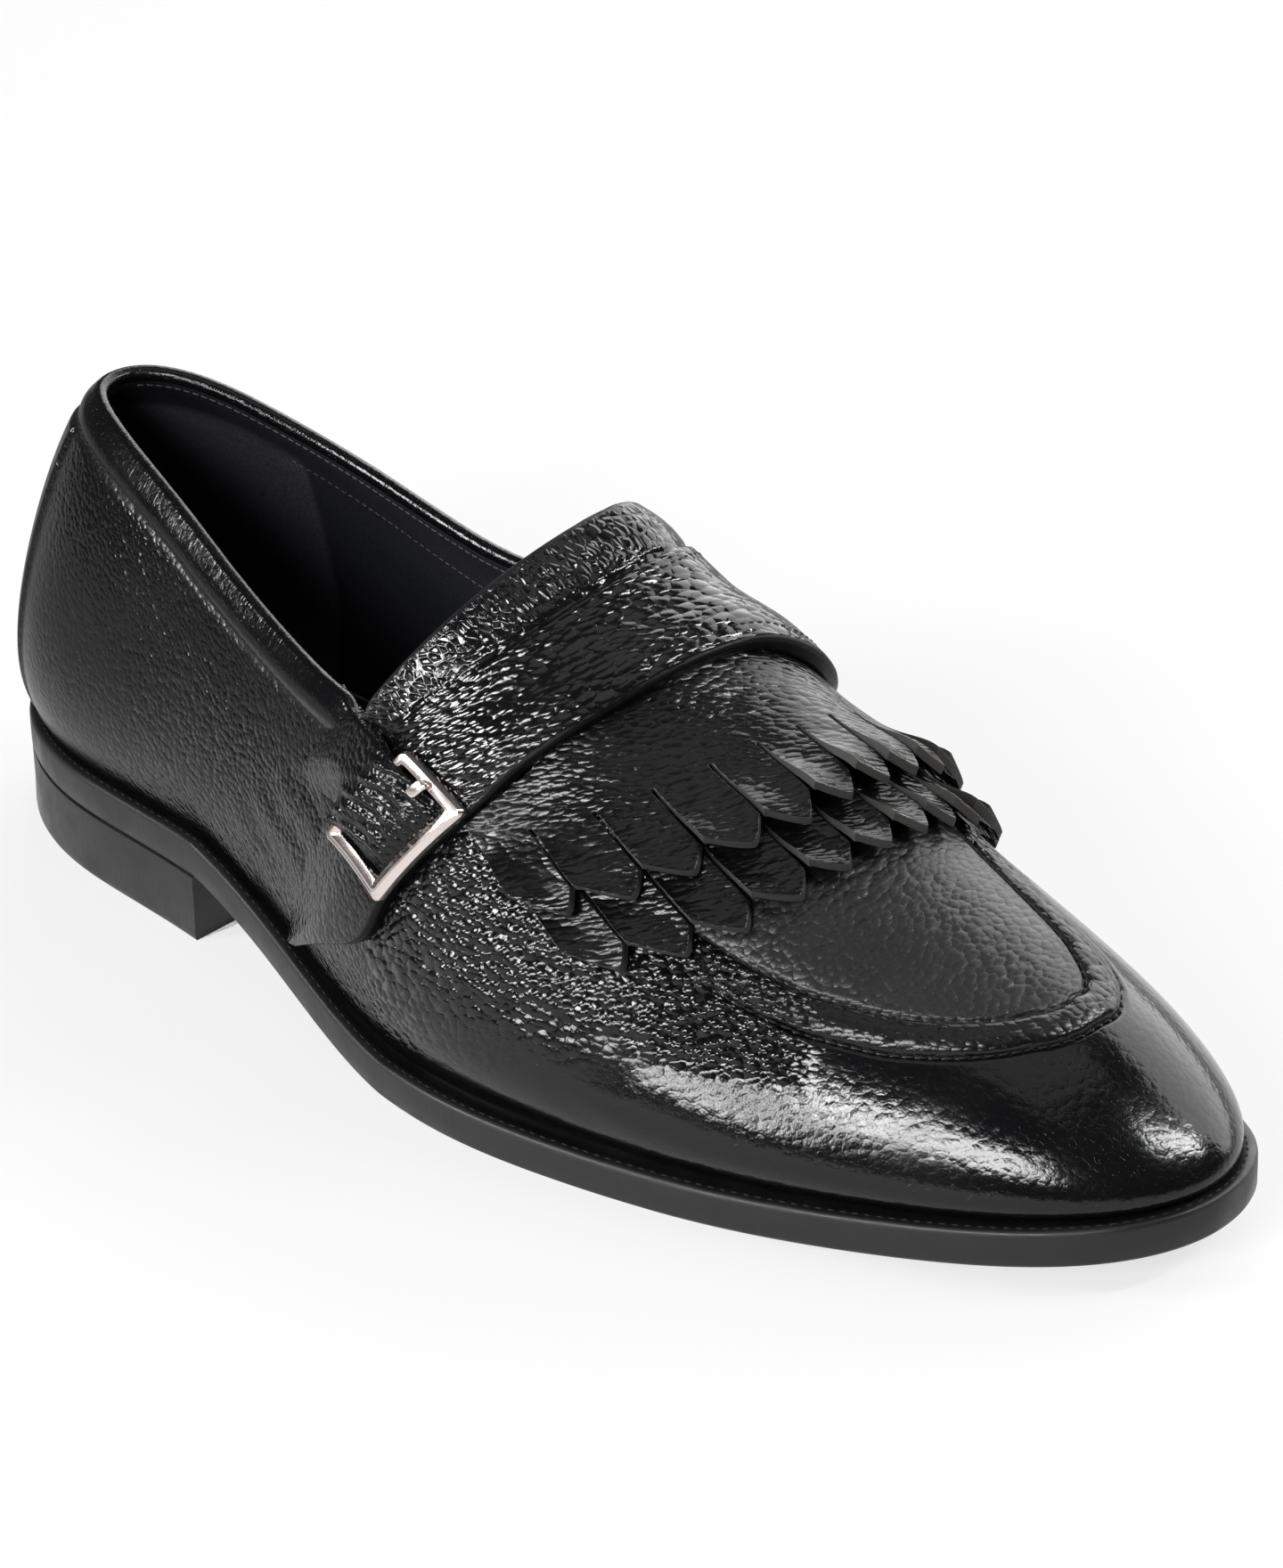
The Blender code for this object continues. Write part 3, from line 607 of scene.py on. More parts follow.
def upper_traits(x, d, t, below, girth):
    """Where the apron is, then the depth of grain, loss of gloss and gathers over the upper."""
    apron = ramp(-bead_offset(x, t), BEAD_HALF - 1, BEAD_HALF + 0.5) * ramp(x, *APRON_FADE_X)
    heel = (1 - ramp(x, *HEEL_FADE_X)) * ramp(d / girth, 0.35, 0.75)
    band = 1 - ramp(below, COLLAR_BAND - 1, COLLAR_BAND)
    seam = bell(below - COLLAR_BAND, 1.5)
    calm = (1 - 0.6 * band) * (1 - 0.45 * (1 - ramp(below, COLLAR_BAND, COLLAR_BAND + 20)))
    slanted = np.minimum(ramp(d + TOE_LINE_SLOPE * x, *TOE_LINE), ramp(x + d, *TOE_REAR))
    toe = 0.95 * np.maximum(slanted, ramp(x, *TOE_SMOOTH_X))
    beaded = bell(bead_offset(x, t), BEAD_HALF) * ramp(x, *BEAD_FADE_X)
    pebble = np.maximum((1 - toe * (1 - apron)) * (1 - 0.6 * heel), 0.3 * beaded)
    pebble = pebble * (1 + 0.9 * ramp(x, *DEEP_GRAIN_X) * (1 - apron))
    return apron, pebble * calm, 0.35 * heel + 0.5 * beaded + 0.6 * seam, 0.04 * band


def leather_sheet(piece, xs, side, apex, girth, edge, behind, arc):
    """Outer face of the upper on one side, from the sole to the collar line or the ridge."""
    d = upper_distances(xs, side, apex, girth, edge)
    x = np.broadcast_to(xs[:, None], d.shape)
    t = side * d
    below = np.where(behind[:, None], d - edge[:, None], FAR_BELOW)
    u = np.broadcast_to(arc[:, None], d.shape)
    outer = LAST.lifted(x, t, upper_relief(x, t, below, np.abs(u)))
    apron, grain, dull, pleat = upper_traits(x, d, t, below, girth[:, None])
    faces = grid_faces(len(xs), UPPER_ROWS + 1, flip=side > 0)
    piece.add(outer, faces, np.stack([u, d], -1), grain, dull, pleat)
    middle = (apron[:-1, :-1] + apron[1:, 1:]) / 2 > 0.5
    behind_strap = x[:-1, :-1] < QUARTER_END_X
    face_slots = np.where(middle, APRON_SLOT, np.where(behind_strap, QUARTER_SLOT, VAMP_SLOT)).ravel()
    piece.slots[-len(face_slots):] = face_slots.tolist()
    return outer


def lining_sheet(piece, xs, side, girth, edge, behind, arc):
    """Inner face of the upper on one side; its traits mark the lower lining, made paler as painted fill
    light in the shade inside the shoe, and the heel pocket.
    """
    d = girth[:, None] + (edge - girth)[:, None] * np.linspace(0, 1, LINING_ROWS + 1)
    x = np.broadcast_to(xs[:, None], d.shape)
    below = d - edge[:, None]
    rim_wall = (2 * COLLAR_ROLL - WALL) * (1 - ramp(below, 0, RIM_WALL_FADE)) * behind[:, None]
    inner = LAST.lifted(x, side * d, -(WALL + rim_wall))
    skin = np.stack([np.broadcast_to(arc[:, None], d.shape), below], -1)
    # Paler lining below the seam is painted fill light that lifts the shade deep inside the shoe; the
    # darker band by the collar is painted shade where the lamps reach.
    painted_fill_tone = ramp(below, SEAM_DROP - 4, SEAM_DROP + 8)
    pocket = (1 - ramp(x, POCKET_X - 1, POCKET_X + 1)) * ramp(below, SEAM_DROP - 2, SEAM_DROP)
    faces = grid_faces(len(xs), LINING_ROWS + 1, flip=side < 0)
    piece.add(inner, faces, skin, painted_fill_tone, pocket, slot=LINING_SLOT)
    return inner


def upper_piece(materials):
    """Leather, lining and rolled collar in one piece; materials are in the order of the slots."""
    apex = throat_station(THROAT_DROP)
    angles = np.sort(np.append(np.linspace(0, math.pi, UPPER_STATIONS), FEATHER.angle(apex)))
    xs = FEATHER.station(angles)
    behind = xs <= apex + 1e-6
    piece = Piece("upper_leather")
    rims = {}
    for side in (-1, 1):
        girth = LAST.girth(xs, side)
        edge = np.where(behind, rim_distance(xs, side, THROAT_DROP), 0.0)
        edge[xs > apex - 1e-6] = 0.0
        rims[side] = edge
        arc = skin_arc(angles, side)
        outer = leather_sheet(piece, xs, side, apex, girth, edge, behind, arc)
        inner = lining_sheet(piece, xs, side, girth, edge, behind, arc)
        foot = np.stack([outer[:, 0], inner[:, 0]], 1)
        piece.add(foot, grid_faces(len(xs), 2, flip=side < 0), None, 0.0)
    collar_roll(piece, xs[behind], rims, behind, angles[behind])
    return piece.make(materials, ["upper"])


def collar_roll(piece, xs, rims, behind, angles):
    """Round turned edge from the leather over the collar line to the lining."""

    def around(outer, inner):
        return np.concatenate([outer, inner[::-1][1:]])

    line_x = around(xs, xs)
    line_t = around(-rims[-1][behind], rims[1][behind])
    rim = LAST.point(line_x, line_t)
    normal = LAST.normal(line_x, line_t)
    tangent = np.gradient(rim, axis=0)
    tangent[0] = rim[1] - rim[-2]
    tangent[-1] = tangent[0]
    over = unit(np.cross(normal, unit(tangent)))
    over = over * np.sign(over[:, 2:3] + 1e-9)
    turn = np.linspace(0, math.pi, ROLL_STEPS + 1)
    lift = np.cos(turn)[None, :, None] * COLLAR_ROLL - COLLAR_ROLL
    reach = np.sin(turn)[None, :, None] * COLLAR_ROLL * ROLL_REACH
    roll = rim[:, None] + normal[:, None] * lift + over[:, None] * reach
    arc = around(skin_arc(angles, -1), skin_arc(angles, 1))
    depth = around(rims[-1][behind], rims[1][behind])
    skin = np.stack([np.broadcast_to(arc[:, None], roll.shape[:2]),
                     depth[:, None] - turn[None, :] * COLLAR_ROLL], -1)
    piece.add(roll, grid_faces(len(rim), ROLL_STEPS + 1), skin, 0.3, 0.0, 0.12, slot=QUARTER_SLOT)


def rim_line(side):
    """Throat line as distances from the ridge and stations, from the notch to the ridge."""
    xs = np.linspace(NOTCH_X[side], throat_station(), 60)
    return rim_distance(xs, side), xs


RIM = {side: rim_line(side) for side in (-1, 1)}


def strap_rear(t):
    """Rear edge of the strap: along the throat line, then down the quarter."""
    rear = np.empty(len(t))
    for k, value in enumerate(t):
        side = -1 if value < 0 else 1
        rim_t, rim_x = RIM[side]
        reach = rim_t[0]
        if abs(value) <= reach:
            rear[k] = np.interp(-abs(value), -rim_t, rim_x) + STRAP_MARGIN
            continue
        end_t, end_x = STRAP_REAR_OUTER if side < 0 else STRAP_REAR_INNER
        f = (abs(value) - reach) / (abs(end_t) - reach)
        rear[k] = rim_x[0] + STRAP_MARGIN + (end_x - rim_x[0] - STRAP_MARGIN) * f
    return rear


def strap_front(t):
    return law(STRAP_FRONT_ROWS, 1, t)


def tucked(t):
    """Share of the tuck and lift where the fringe runs under the strap."""
    t = np.asarray(t, float)
    return np.where(t < 0, 1 - ramp(-t, *LIFT_END[-1]), 1 - ramp(t, *LIFT_END[1]))


def quarter_share(t):
    """0 on the band over the instep, 1 where the strap has become the quarter."""
    reach = np.where(t < 0, RIM[-1][0][0], RIM[1][0][0])
    return ramp(np.abs(t), reach + QUARTER_BLEND[0], reach + QUARTER_BLEND[1])


def strap_top(t, c, wide, raised, quarter):
    """Height of the strap's face over the last at a share c from the rear to the front edge."""
    behind = c * wide
    lift = (STRAP_LIFT - STRAP_GAP + FRONT_RISE) * raised * ramp(c, *LIFT_SPAN)
    band = STRAP_GAP + lift + STRAP_THICK
    lapped = 1 - ramp(np.abs(t - LAP_MIDDLE), *LAP_FADE)
    puff = RIM_PUFF * np.sin(np.clip(behind / RIM_BAND, 0, 1) * math.pi)
    step = LAP_STEP * ramp(behind, RIM_BAND - 0.3, RIM_BAND + 0.5)
    step = step - LAP_GROOVE * bell(behind - RIM_BAND + 0.3, 0.5)
    band = band + lapped * (puff + step)
    sunk = -QUARTER_SINK + (STRAP_GAP + STRAP_THICK + QUARTER_SINK) * ramp(c, *SINK_SPAN)
    return band + (sunk - band) * quarter


def strap_columns(t, rear, wide, raised, quarter):
    """Points and stations of the strap's columns: hem, turned rear edge, face, front edge, underside."""
    base = LAST.point(rear, t)
    normal = LAST.normal(rear, t)
    back = unit(np.cross(normal, unit(np.gradient(base, axis=0))))
    back = back * -np.sign(back[:, :1])
    front = rear + wide
    roll = STRAP_ROLL * (1 - quarter) + 0.15 * quarter
    centre = strap_top(t, np.zeros(len(t)), wide, raised, quarter) - roll
    columns = []
    for inside in (7.0, 4.0, 1.5):
        columns.append((LAST.lifted(rear + inside, t, centre - roll), rear + inside))
    for turn in np.linspace(math.pi, 0, 13):
        height = centre + roll * math.cos(turn)
        out = roll * math.sin(turn)
        columns.append((base + normal * height[:, None] + back * out[:, None], rear - roll * turn))
    for c in runs((0, 0.9, 56), (0.9, 1.0, 12))[1:]:
        x = rear + wide * c
        rounded = max(0.0, (c - 0.95) / 0.05)
        low = EDGE_ROUND * (1 - math.sqrt(max(0.0, 1 - rounded ** 2)))
        height = strap_top(t, np.full(len(t), c), wide, raised, quarter) - low
        columns.append((LAST.lifted(x, t, height), x))
    under = STRAP_GAP + (STRAP_LIFT - STRAP_GAP) * raised - 0.25
    top = strap_top(t, np.ones(len(t)), wide, raised, quarter) - EDGE_ROUND
    for f in (0.25, 0.5, 0.75, 1.0):
        columns.append((LAST.lifted(front, t, top + (under - top) * f), front))
    columns.append((LAST.lifted(front - 4, t, under), front - 4))
    return columns


def strap_piece(materials):
    """Strap and quarter; materials are those of the band, the quarter and the front edge."""
    t = runs((-110, -96, 29), (-96, -64, 49), (-64, 50, 150), (50, 80, 41), (80, 92, 25))
    rear, front = strap_rear(t), strap_front(t)
    quarter = quarter_share(t)
    columns = strap_columns(t, rear, front - rear, tucked(t), quarter)
    points = np.stack([column_points for column_points, _ in columns], 1)
    x = np.stack([stations for _, stations in columns], 1)
    tt = np.broadcast_to(t[:, None], x.shape)
    skin = np.stack([x - 0.1 * tt + 0.00575 * tt ** 2, tt], -1)
    behind = x - rear[:, None]
    gather = (1 - ramp(behind, RIM_BAND - 4, RIM_BAND)) * (1 - ramp(np.abs(tt), 58, 66))
    smooth = ramp(x - front[:, None], -1.3, -0.5)
    folded = ramp(-behind, 0.3, 1.4)
    lower = ramp(np.abs(tt), 62, 80)
    grain = (1 - 0.85 * smooth) * (1 - 0.3 * lower) * (1 - 0.6 * folded)
    piece = Piece("strap_leather")
    piece.add(points, grid_faces(*x.shape, flip=True), skin, grain, np.maximum(0.5 * smooth, folded),
              gather * (1 - folded))
    # The front edge and the last millimetre of the face take the near black, weakly reflecting edge
    # material: edge paint, and painted shade where the edge lies in the buckle's shadow.
    edge_face = np.arange(len(columns) - 1) >= len(columns) - EDGE_COLUMNS
    face_slots = np.where(edge_face[None, :], 2, (quarter[1:] > 0.5)[:, None])
    piece.slots = face_slots.ravel().tolist()
    return piece.make(materials, ["strap"])


def corner_x(t):
    """Station of the line through the flaps' corners."""
    return FLAP_CORNER_X - FLAP_CORNER_CURVE * (t - FLAP_CORNER_T) ** 2


def fringe_piece(name, materials, stands_for, shift, root, under, seed):
    """One layer of the fringe: a band from the root to the slits, and pointed flaps on it."""
    rng = np.random.default_rng(seed)
    flaps = len(FLAP_LINES) - 1
    share = np.array([0, 0.04, 0.14, 0.27, 0.4, 0.5, FLAP_POINT_AT, 0.7, 0.8, 0.9, 0.97, 1.0])
    band_rows, flap_rows = 14, 18
    top = []
    bottom = []
    skin = []
    flap_of = []
    for k in range(flaps):
        rise = rng.uniform(-0.3, 0.5)
        tilt = rng.uniform(-1.5, -0.4)
        longer = rng.uniform(-0.5, 0.5)
        for u in share:
            t = FLAP_LINES[k] + SLIT_HALF + (FLAP_LINES[k + 1] - FLAP_LINES[k] - 2 * SLIT_HALF) * u
            slit = corner_x(t) - FLAP_LENGTH + shift
            start = float(root(t))
            from_point = FLAP_POINT_AT - u
            point = from_point / FLAP_POINT_AT if from_point > 0 else -from_point / (1 - FLAP_POINT_AT)
            end = corner_x(t) + shift + FLAP_POINT * (1 - point ** 1.3) + longer * (1 - point)
            x = runs((start, slit, band_rows), (slit, end, flap_rows + 1))
            free = ramp(x, slit, end)
            curl = (FLAP_CURL + rise + tilt * (2 * u - 1)) * free ** 1.5
            curl = curl + FLAP_CUP * (2 * u - 1) ** 2 * free
            low = np.maximum(under(x, start, slit) + curl, under(x, start, slit) * 0.9)
            tt = np.full(len(x), t)
            side_cut = FLAP_SIDE_CUT * ((u == 1) * 1.0 - (u == 0) * 1.0) * ramp(x, slit, slit + 2)
            bottom.append(LAST.lifted(x + FLAP_CUT * free ** 6, tt + side_cut, low))
            top.append(LAST.lifted(x, tt, low + LAYER_THICK))
            skin.append(np.stack([x + shift - 0.3 * tt + 0.0045 * tt ** 2, tt], -1))
            flap_of.append(k)
    per = band_rows + flap_rows
    faces = []
    for c in range(len(flap_of) - 1):
        bridge = flap_of[c] != flap_of[c + 1]
        for r in range((band_rows if bridge else per) - 1):
            a = c * per + r
            faces.append([a, a + 1, a + per + 1, a + per])
    return solid_piece(name, top, bottom, skin, faces, materials, [stands_for], bevel=0.12)


def solid_piece(name, top, bottom, skin, faces, materials, stands_for, bevel=None, sharp=35):
    """Closed piece between two matched sheets; open edges become walls, in a second material if given."""
    top = np.concatenate([np.asarray(p).reshape(-1, 3) for p in top])
    bottom = np.concatenate([np.asarray(p).reshape(-1, 3) for p in bottom])
    skin = np.concatenate([np.asarray(p).reshape(-1, 2) for p in skin])
    count = len(top)
    edges = {(a, b) for face in faces for a, b in zip(face, face[1:] + face[:1])}
    walls = [[b, a, a + count, b + count] for a, b in sorted(edges) if (b, a) not in edges]
    solid = faces + [[v + count for v in reversed(f)] for f in faces] + walls
    piece = Piece(name)
    piece.add(np.vstack([top, bottom]), solid, np.vstack([skin, skin]), 1.0)
    if len(materials) > 1:
        piece.slots[-len(walls):] = [1] * len(walls)
    return piece.make(materials, stands_for, sharp=sharp, bevel=bevel)


def upper_layer_root(t):
    """Rear edge of the upper layer, under the strap where that is lifted."""
    return strap_front(t) + ROOT_GAP - (TUCK + ROOT_GAP) * tucked(t + np.copysign(TUCK_EASE, t))


def upper_layer_low(x, start, slit):
    """Underside of the upper layer, rising from its rear edge over the lower layer."""
    return STRAP_GAP + (UPPER_LAYER_OFFSET - STRAP_GAP) * ramp(x, (start + slit) / 2, slit + 11)


def lower_layer_root(t):
    """Rear edge of the lower layer, just in front of the upper layer's slits."""
    return corner_x(t) - FLAP_LENGTH + 1.5


def lower_layer_low(x, start, slit):
    """Underside of the lower layer, which lies flat on the vamp."""
    return np.full(len(x), LOWER_LAYER_OFFSET)


def fringe_pieces(materials):
    fringe_piece("fringe_top", materials, "kiltie_upper_layer", 0.0, upper_layer_root, upper_layer_low, 5)
    fringe_piece("fringe_under", materials, "kiltie_lower_layer", LAYER_STEP, lower_layer_root,
                 lower_layer_low, 11)


def buckle_xt(a, b):
    """Station and ridge distance over the buckle: a from rear to front, b from the strap end down."""
    a = np.asarray(a, float)[..., None]
    b = np.asarray(b, float)[..., None]
    upper_edge = np.array(BUCKLE_TOP) * (1 - a) + np.array(BUCKLE_FRONT) * a
    lower_edge = np.array(BUCKLE_REAR) * (1 - a) + np.array(BUCKLE_LOW) * a
    xt = upper_edge * (1 - b) + lower_edge * b
    return xt[..., 0], xt[..., 1]


def buckle_point(a, b, offset):
    x, t = buckle_xt(a, b)
    return LAST.lifted(x, t, np.broadcast_to(offset, x.shape))


def rounded_rectangle(half_wide, half_long, radius, per_corner=7, per_side=8):
    """Ring of points round a rectangle, counted the same for every radius."""
    ring = []
    for k, (sx, sy) in enumerate(((1, -1), (1, 1), (-1, 1), (-1, -1))):
        centre = np.array([sx * (half_wide - radius), sy * (half_long - radius)])
        turn = math.pi / 2 * (k - 1 + np.linspace(0, 1, per_corner))
        ring.append(centre + radius * np.stack([np.cos(turn), np.sin(turn)], -1))
    out = []
    for k in range(4):
        out.append(ring[k])
        start, end = ring[k][-1], ring[(k + 1) % 4][0]
        f = np.linspace(0, 1, per_side + 2)[1:-1, None]
        out.append(start + (end - start) * f)
    return np.concatenate(out)


def frame_piece(metal):
    """Buckle frame: bars with sloped sides and a narrow flat top, wide and flat along the front bar."""
    outer = rounded_rectangle(BUCKLE_WIDE / 2, BUCKLE_LONG / 2, 1.3)
    inner = rounded_rectangle(BUCKLE_WIDE / 2 - BAR_WIDE, BUCKLE_LONG / 2 - BAR_WIDE, 0.5)
    centre = (outer + inner) / 2
    flat = ramp(-centre[:, 1], BUCKLE_LONG / 2 - 2 * BAR_WIDE, BUCKLE_LONG / 2 - BAR_WIDE)
    rings = []
    for across, up in BAR_SECTION:
        narrowed = across * (1 - 0.75 * (1 - flat) * (abs(across) < 0.33))
        uv = centre + (outer - inner) * narrowed[:, None]
        rings.append(buckle_point(0.5 + uv[:, 0] / BUCKLE_WIDE, 0.5 + uv[:, 1] / BUCKLE_LONG,
                                  BUCKLE_OFFSET + BAR_THICK * up))
    points = np.stack(rings + rings[:1], 1)
    piece = Piece("buckle_ring")
    piece.add(points, grid_faces(len(outer), len(BAR_SECTION) + 1, flip=True, wrap=True))
    piece.make([metal], ["buckle_frame"], sharp=28)


def prong_piece(metal):
    """Short finger with rounded corners, lying over the front bar and dipping behind it."""
    clear = BUCKLE_OFFSET + BAR_THICK + PRONG_CLEAR
    bar = BAR_WIDE / BUCKLE_LONG
    half = PRONG_HALF / BUCKLE_WIDE
    b = np.linspace(0.4 * bar, bar + PRONG_PAST, 16)
    drop = ramp(b, bar, bar + PRONG_PAST) * PRONG_DIP
    size = np.sqrt(np.clip(1 - np.abs(np.linspace(-0.96, 0.96, len(b))) ** 5, 0, 1))
    turn = np.linspace(0, 2 * math.pi, 17)
    rings = []
    for bb, dd, ss in zip(b, drop, size):
        a = 0.5 + half * ss * np.sign(np.cos(turn)) * np.abs(np.cos(turn)) ** 0.45
        up = PRONG_RISE + PRONG_RISE * ss * np.sign(np.sin(turn)) * np.abs(np.sin(turn)) ** 0.5
        rings.append(buckle_point(a, np.full(len(turn), bb), clear - dd + up))
    points = np.stack(rings, 0)
    piece = Piece("buckle_pin")
    piece.add(points, grid_faces(len(b), len(turn)))
    fan = [[0, k + 2, k + 1] for k in range(len(turn) - 3)]
    piece.add(points[0], fan)
    piece.add(points[-1], [[a, c, b] for a, b, c in fan])
    piece.make([metal], ["buckle_prong"], sharp=50)


def tab_piece(leather):
    """Corner of the quarter over the strap, drawn over the rear bar and puffed inside the frame."""
    bar_b = BAR_WIDE / BUCKLE_LONG
    a = runs((-2.4, -0.3, 76), (-0.3, 0.84, 70))
    share = runs((0, 0.06, 7), (0.06, 0.94, 46), (0.94, 1, 7))
    aa, vv = np.meshgrid(a, share)
    inside = ramp(aa, -0.05, 0.12)
    top_edge = law(TAB_ROWS, 2, aa)
    low_edge = 0.92 - (bar_b - 0.05) * ramp(aa, -0.3, 0.1)
    bb = top_edge + (low_edge - top_edge) * vv
    height = law(TAB_ROWS, 1, aa)
    merged = (1 - ramp(aa, -0.4, 0.02)) * ramp(vv, 0.45, 1.0)
    height = height * (1 - merged) - 0.2 * merged
    height = height - inside * (1.5 * ramp(vv, 0.84, 1.0) + 1.1 * (1 - ramp(vv, 0.0, 0.14)))
    rolled = (1 - inside) * np.clip(1 - vv / 0.06, 0, 1)
    height = height - 1.2 * (1 - np.sqrt(np.clip(1 - rolled ** 2, 0, 1)))
    folds = np.sin(bb * 38 + 2.5 * np.sin(aa * 5)) + 0.6 * np.sin(bb * 71 + aa * 9)
    height = height + TAB_FOLD * folds * ramp(aa, -0.4, 0.15) * (1 - ramp(aa, 0.45, 0.8))
    thick = TAB_THICK + TAB_ROLL * (1 - ramp(aa, -0.9, -0.4))
    top = buckle_point(aa, bb, height)
    bottom = buckle_point(aa, bb, height - thick)
    x, t = buckle_xt(aa, bb)
    faces = grid_faces(len(share), len(a)).tolist()
    solid_piece("buckle_tab_leather", [top], [bottom], [np.stack([x, t], -1)], faces, [leather],
                ["buckle_tab"], bevel=None, sharp=60)


# Sole, heel and sock from the underside out, up and in: inset from the plan outline, height
SOLE_RINGS = [
    (9, 0.0), (1.2, 0.0), (0.35, 0.2), (0.05, 0.8), (0.0, 3.5), (0.0, 6.3),
    (0.12, 7.0), (0.4, 7.45), (0.8, 7.6), (2.9, 7.5), (3.3, 7.1), (9, 7.1)]
HEEL_TOP = HEEL_HEIGHT - SOLE_GAP
HEEL_RINGS = [
    (9, 0.0), (1.0, 0.0), (0.35, 0.0), (0.1, 0.5), (0.0, 1.6), (0.15, 7.0),
    (0.1, HEEL_TOP - 1.2), (0.25, HEEL_TOP - 0.3), (0.8, HEEL_TOP), (9, HEEL_TOP)]
SOCK_RINGS = [(6, 0.0), (3.4, 0.0), (3.4, 1.4), (3.7, 1.85), (4.4, 2.0), (9, 2.0)]
TOOTHED_RINGS = (2, 3)
TOOTH_PITCH = 1.15
TEETH_ARC = (8, 19.5)
SOLE_STATIONS = 420
SOCK_STATIONS = 160
# Share of the heel's outline, from its back, with close stations for the teeth
TEETH_SHARE = 0.28


def heel_teeth(arc, side):
    """Fine teeth on the outer side of the heel's back, by the length along the edge."""
    wave = np.clip(1.6 * np.sin(arc * 2 * math.pi / TOOTH_PITCH), -0.4, 1) * 0.5 + 0.2
    return np.where((side < 0) & (arc > TEETH_ARC[0]) & (arc < TEETH_ARC[1]), wave, 0.0)


def ring_solid(piece, outline, angles, rings, base, toothed=(), closed_front=False):
    """Solid with a plan outline: rings of an inset and a height over a base, from the underside up."""
    sheets = {}
    for side in (-1, 1):
        edge = outline.at(angles, side)
        out = outline.outward(angles, side)
        arc = run_length(edge)
        sheet = []
        skin = []
        run = 0.0
        for k, (inset, height) in enumerate(rings):
            plan = edge - out * inset
            z = base(plan[:, 0]) + height
            if k in toothed:
                z = z + heel_teeth(arc, side)
            sheet.append(np.column_stack([plan, z]))
            if k:
                run += float(np.median(np.linalg.norm(sheet[-1] - sheet[-2], axis=1)))
            skin.append(np.stack([side * arc, np.full(len(arc), run)], -1))
        sheets[side] = np.stack(sheet, 1)
        faces = grid_faces(len(angles), len(rings), flip=side < 0)
        piece.add(sheets[side], faces, np.stack(skin, 1))
    for ring, flip in ((0, True), (-1, False)):
        cap = np.stack([sheets[-1][:, ring], sheets[1][:, ring]], 1)
        piece.add(cap, grid_faces(len(angles), 2, flip=flip), cap[..., :2])
    if closed_front:
        wall = np.stack([sheets[-1][-1], sheets[1][-1]], 1)
        piece.add(wall, grid_faces(len(rings), 2), wall[..., 1:])


def sole_piece(rubber):
    """Sole plate with a rounded edge, a stitched ledge and a bed for the upper."""
    breaks = SOLE.angle([HEEL_BREAST_X, TREAD_START_X, TREAD_END_X])
    angles = np.sort(np.append(np.linspace(0, math.pi, SOLE_STATIONS), breaks))
    piece = Piece("sole_plate")
    ring_solid(piece, SOLE, angles, SOLE_RINGS, sole_bottom)
    piece.make([rubber], ["outsole"], sharp=50)


def heel_piece(rubber):
    """Heel block with a flat breast and fine teeth at the back of its lower edge."""
    end = float(SOLE.angle(HEEL_BREAST_X))
    angles = runs((0, TEETH_SHARE * end, 190), (TEETH_SHARE * end, end, 60))
    piece = Piece("heel_block")
    ring_solid(piece, SOLE, angles, HEEL_RINGS, np.zeros_like, TOOTHED_RINGS, closed_front=True)
    piece.make([rubber], ["heel"], sharp=50)


def sock_base(x):
    return sole_bottom(x) + SOLE_THICK + SOLE_GAP


def sock_piece(lining):
    """Sock over the sole's bed, seen through the collar."""
    piece = Piece("sock")
    ring_solid(piece, FEATHER, np.linspace(0, math.pi, SOCK_STATIONS), SOCK_RINGS, sock_base)
    piece.make([lining], ["insole"], sharp=50)


def stitch_row(name, thread, record_slot, points, normals, pitch=2.2, length=1.7, radius=0.28, sink=0.1):
    """Row of short threads along a line; each is a small capsule bent into the leather at its ends."""
    arc = run_length(points)
    count = int(arc[-1] / pitch)
    middle = (np.arange(count) + 0.5) * arc[-1] / count

    def at_middle(values):
        return np.stack([np.interp(middle, arc, values[:, k]) for k in range(3)], -1)

    centre = at_middle(points)
    up = unit(at_middle(normals))
    along = unit(at_middle(np.gradient(points, axis=0)))
    side = unit(np.cross(up, along))
    rings, sides = 7, 8
    piece = Piece(name)
    lengthwise = np.linspace(-1, 1, rings)
    turn = np.linspace(0, 2 * math.pi, sides + 1)
    size = np.sqrt(np.clip(1 - (lengthwise * 0.98) ** 4, 0, 1))
    bend = -0.5 * radius * lengthwise ** 2
    local = []
    for f, s, b in zip(lengthwise, size, bend):
        local.append(np.stack([np.full(sides + 1, f * length / 2), np.cos(turn) * s * radius,
                               np.sin(turn) * s * radius + b - sink], -1))
    local = np.stack(local)
    faces = grid_faces(rings, sides + 1)
    for c, a, s, u in zip(centre, along, side, up):
        piece.add(c + local[..., :1] * a + local[..., 1:2] * s + local[..., 2:] * u, faces)
    return piece.make([thread])


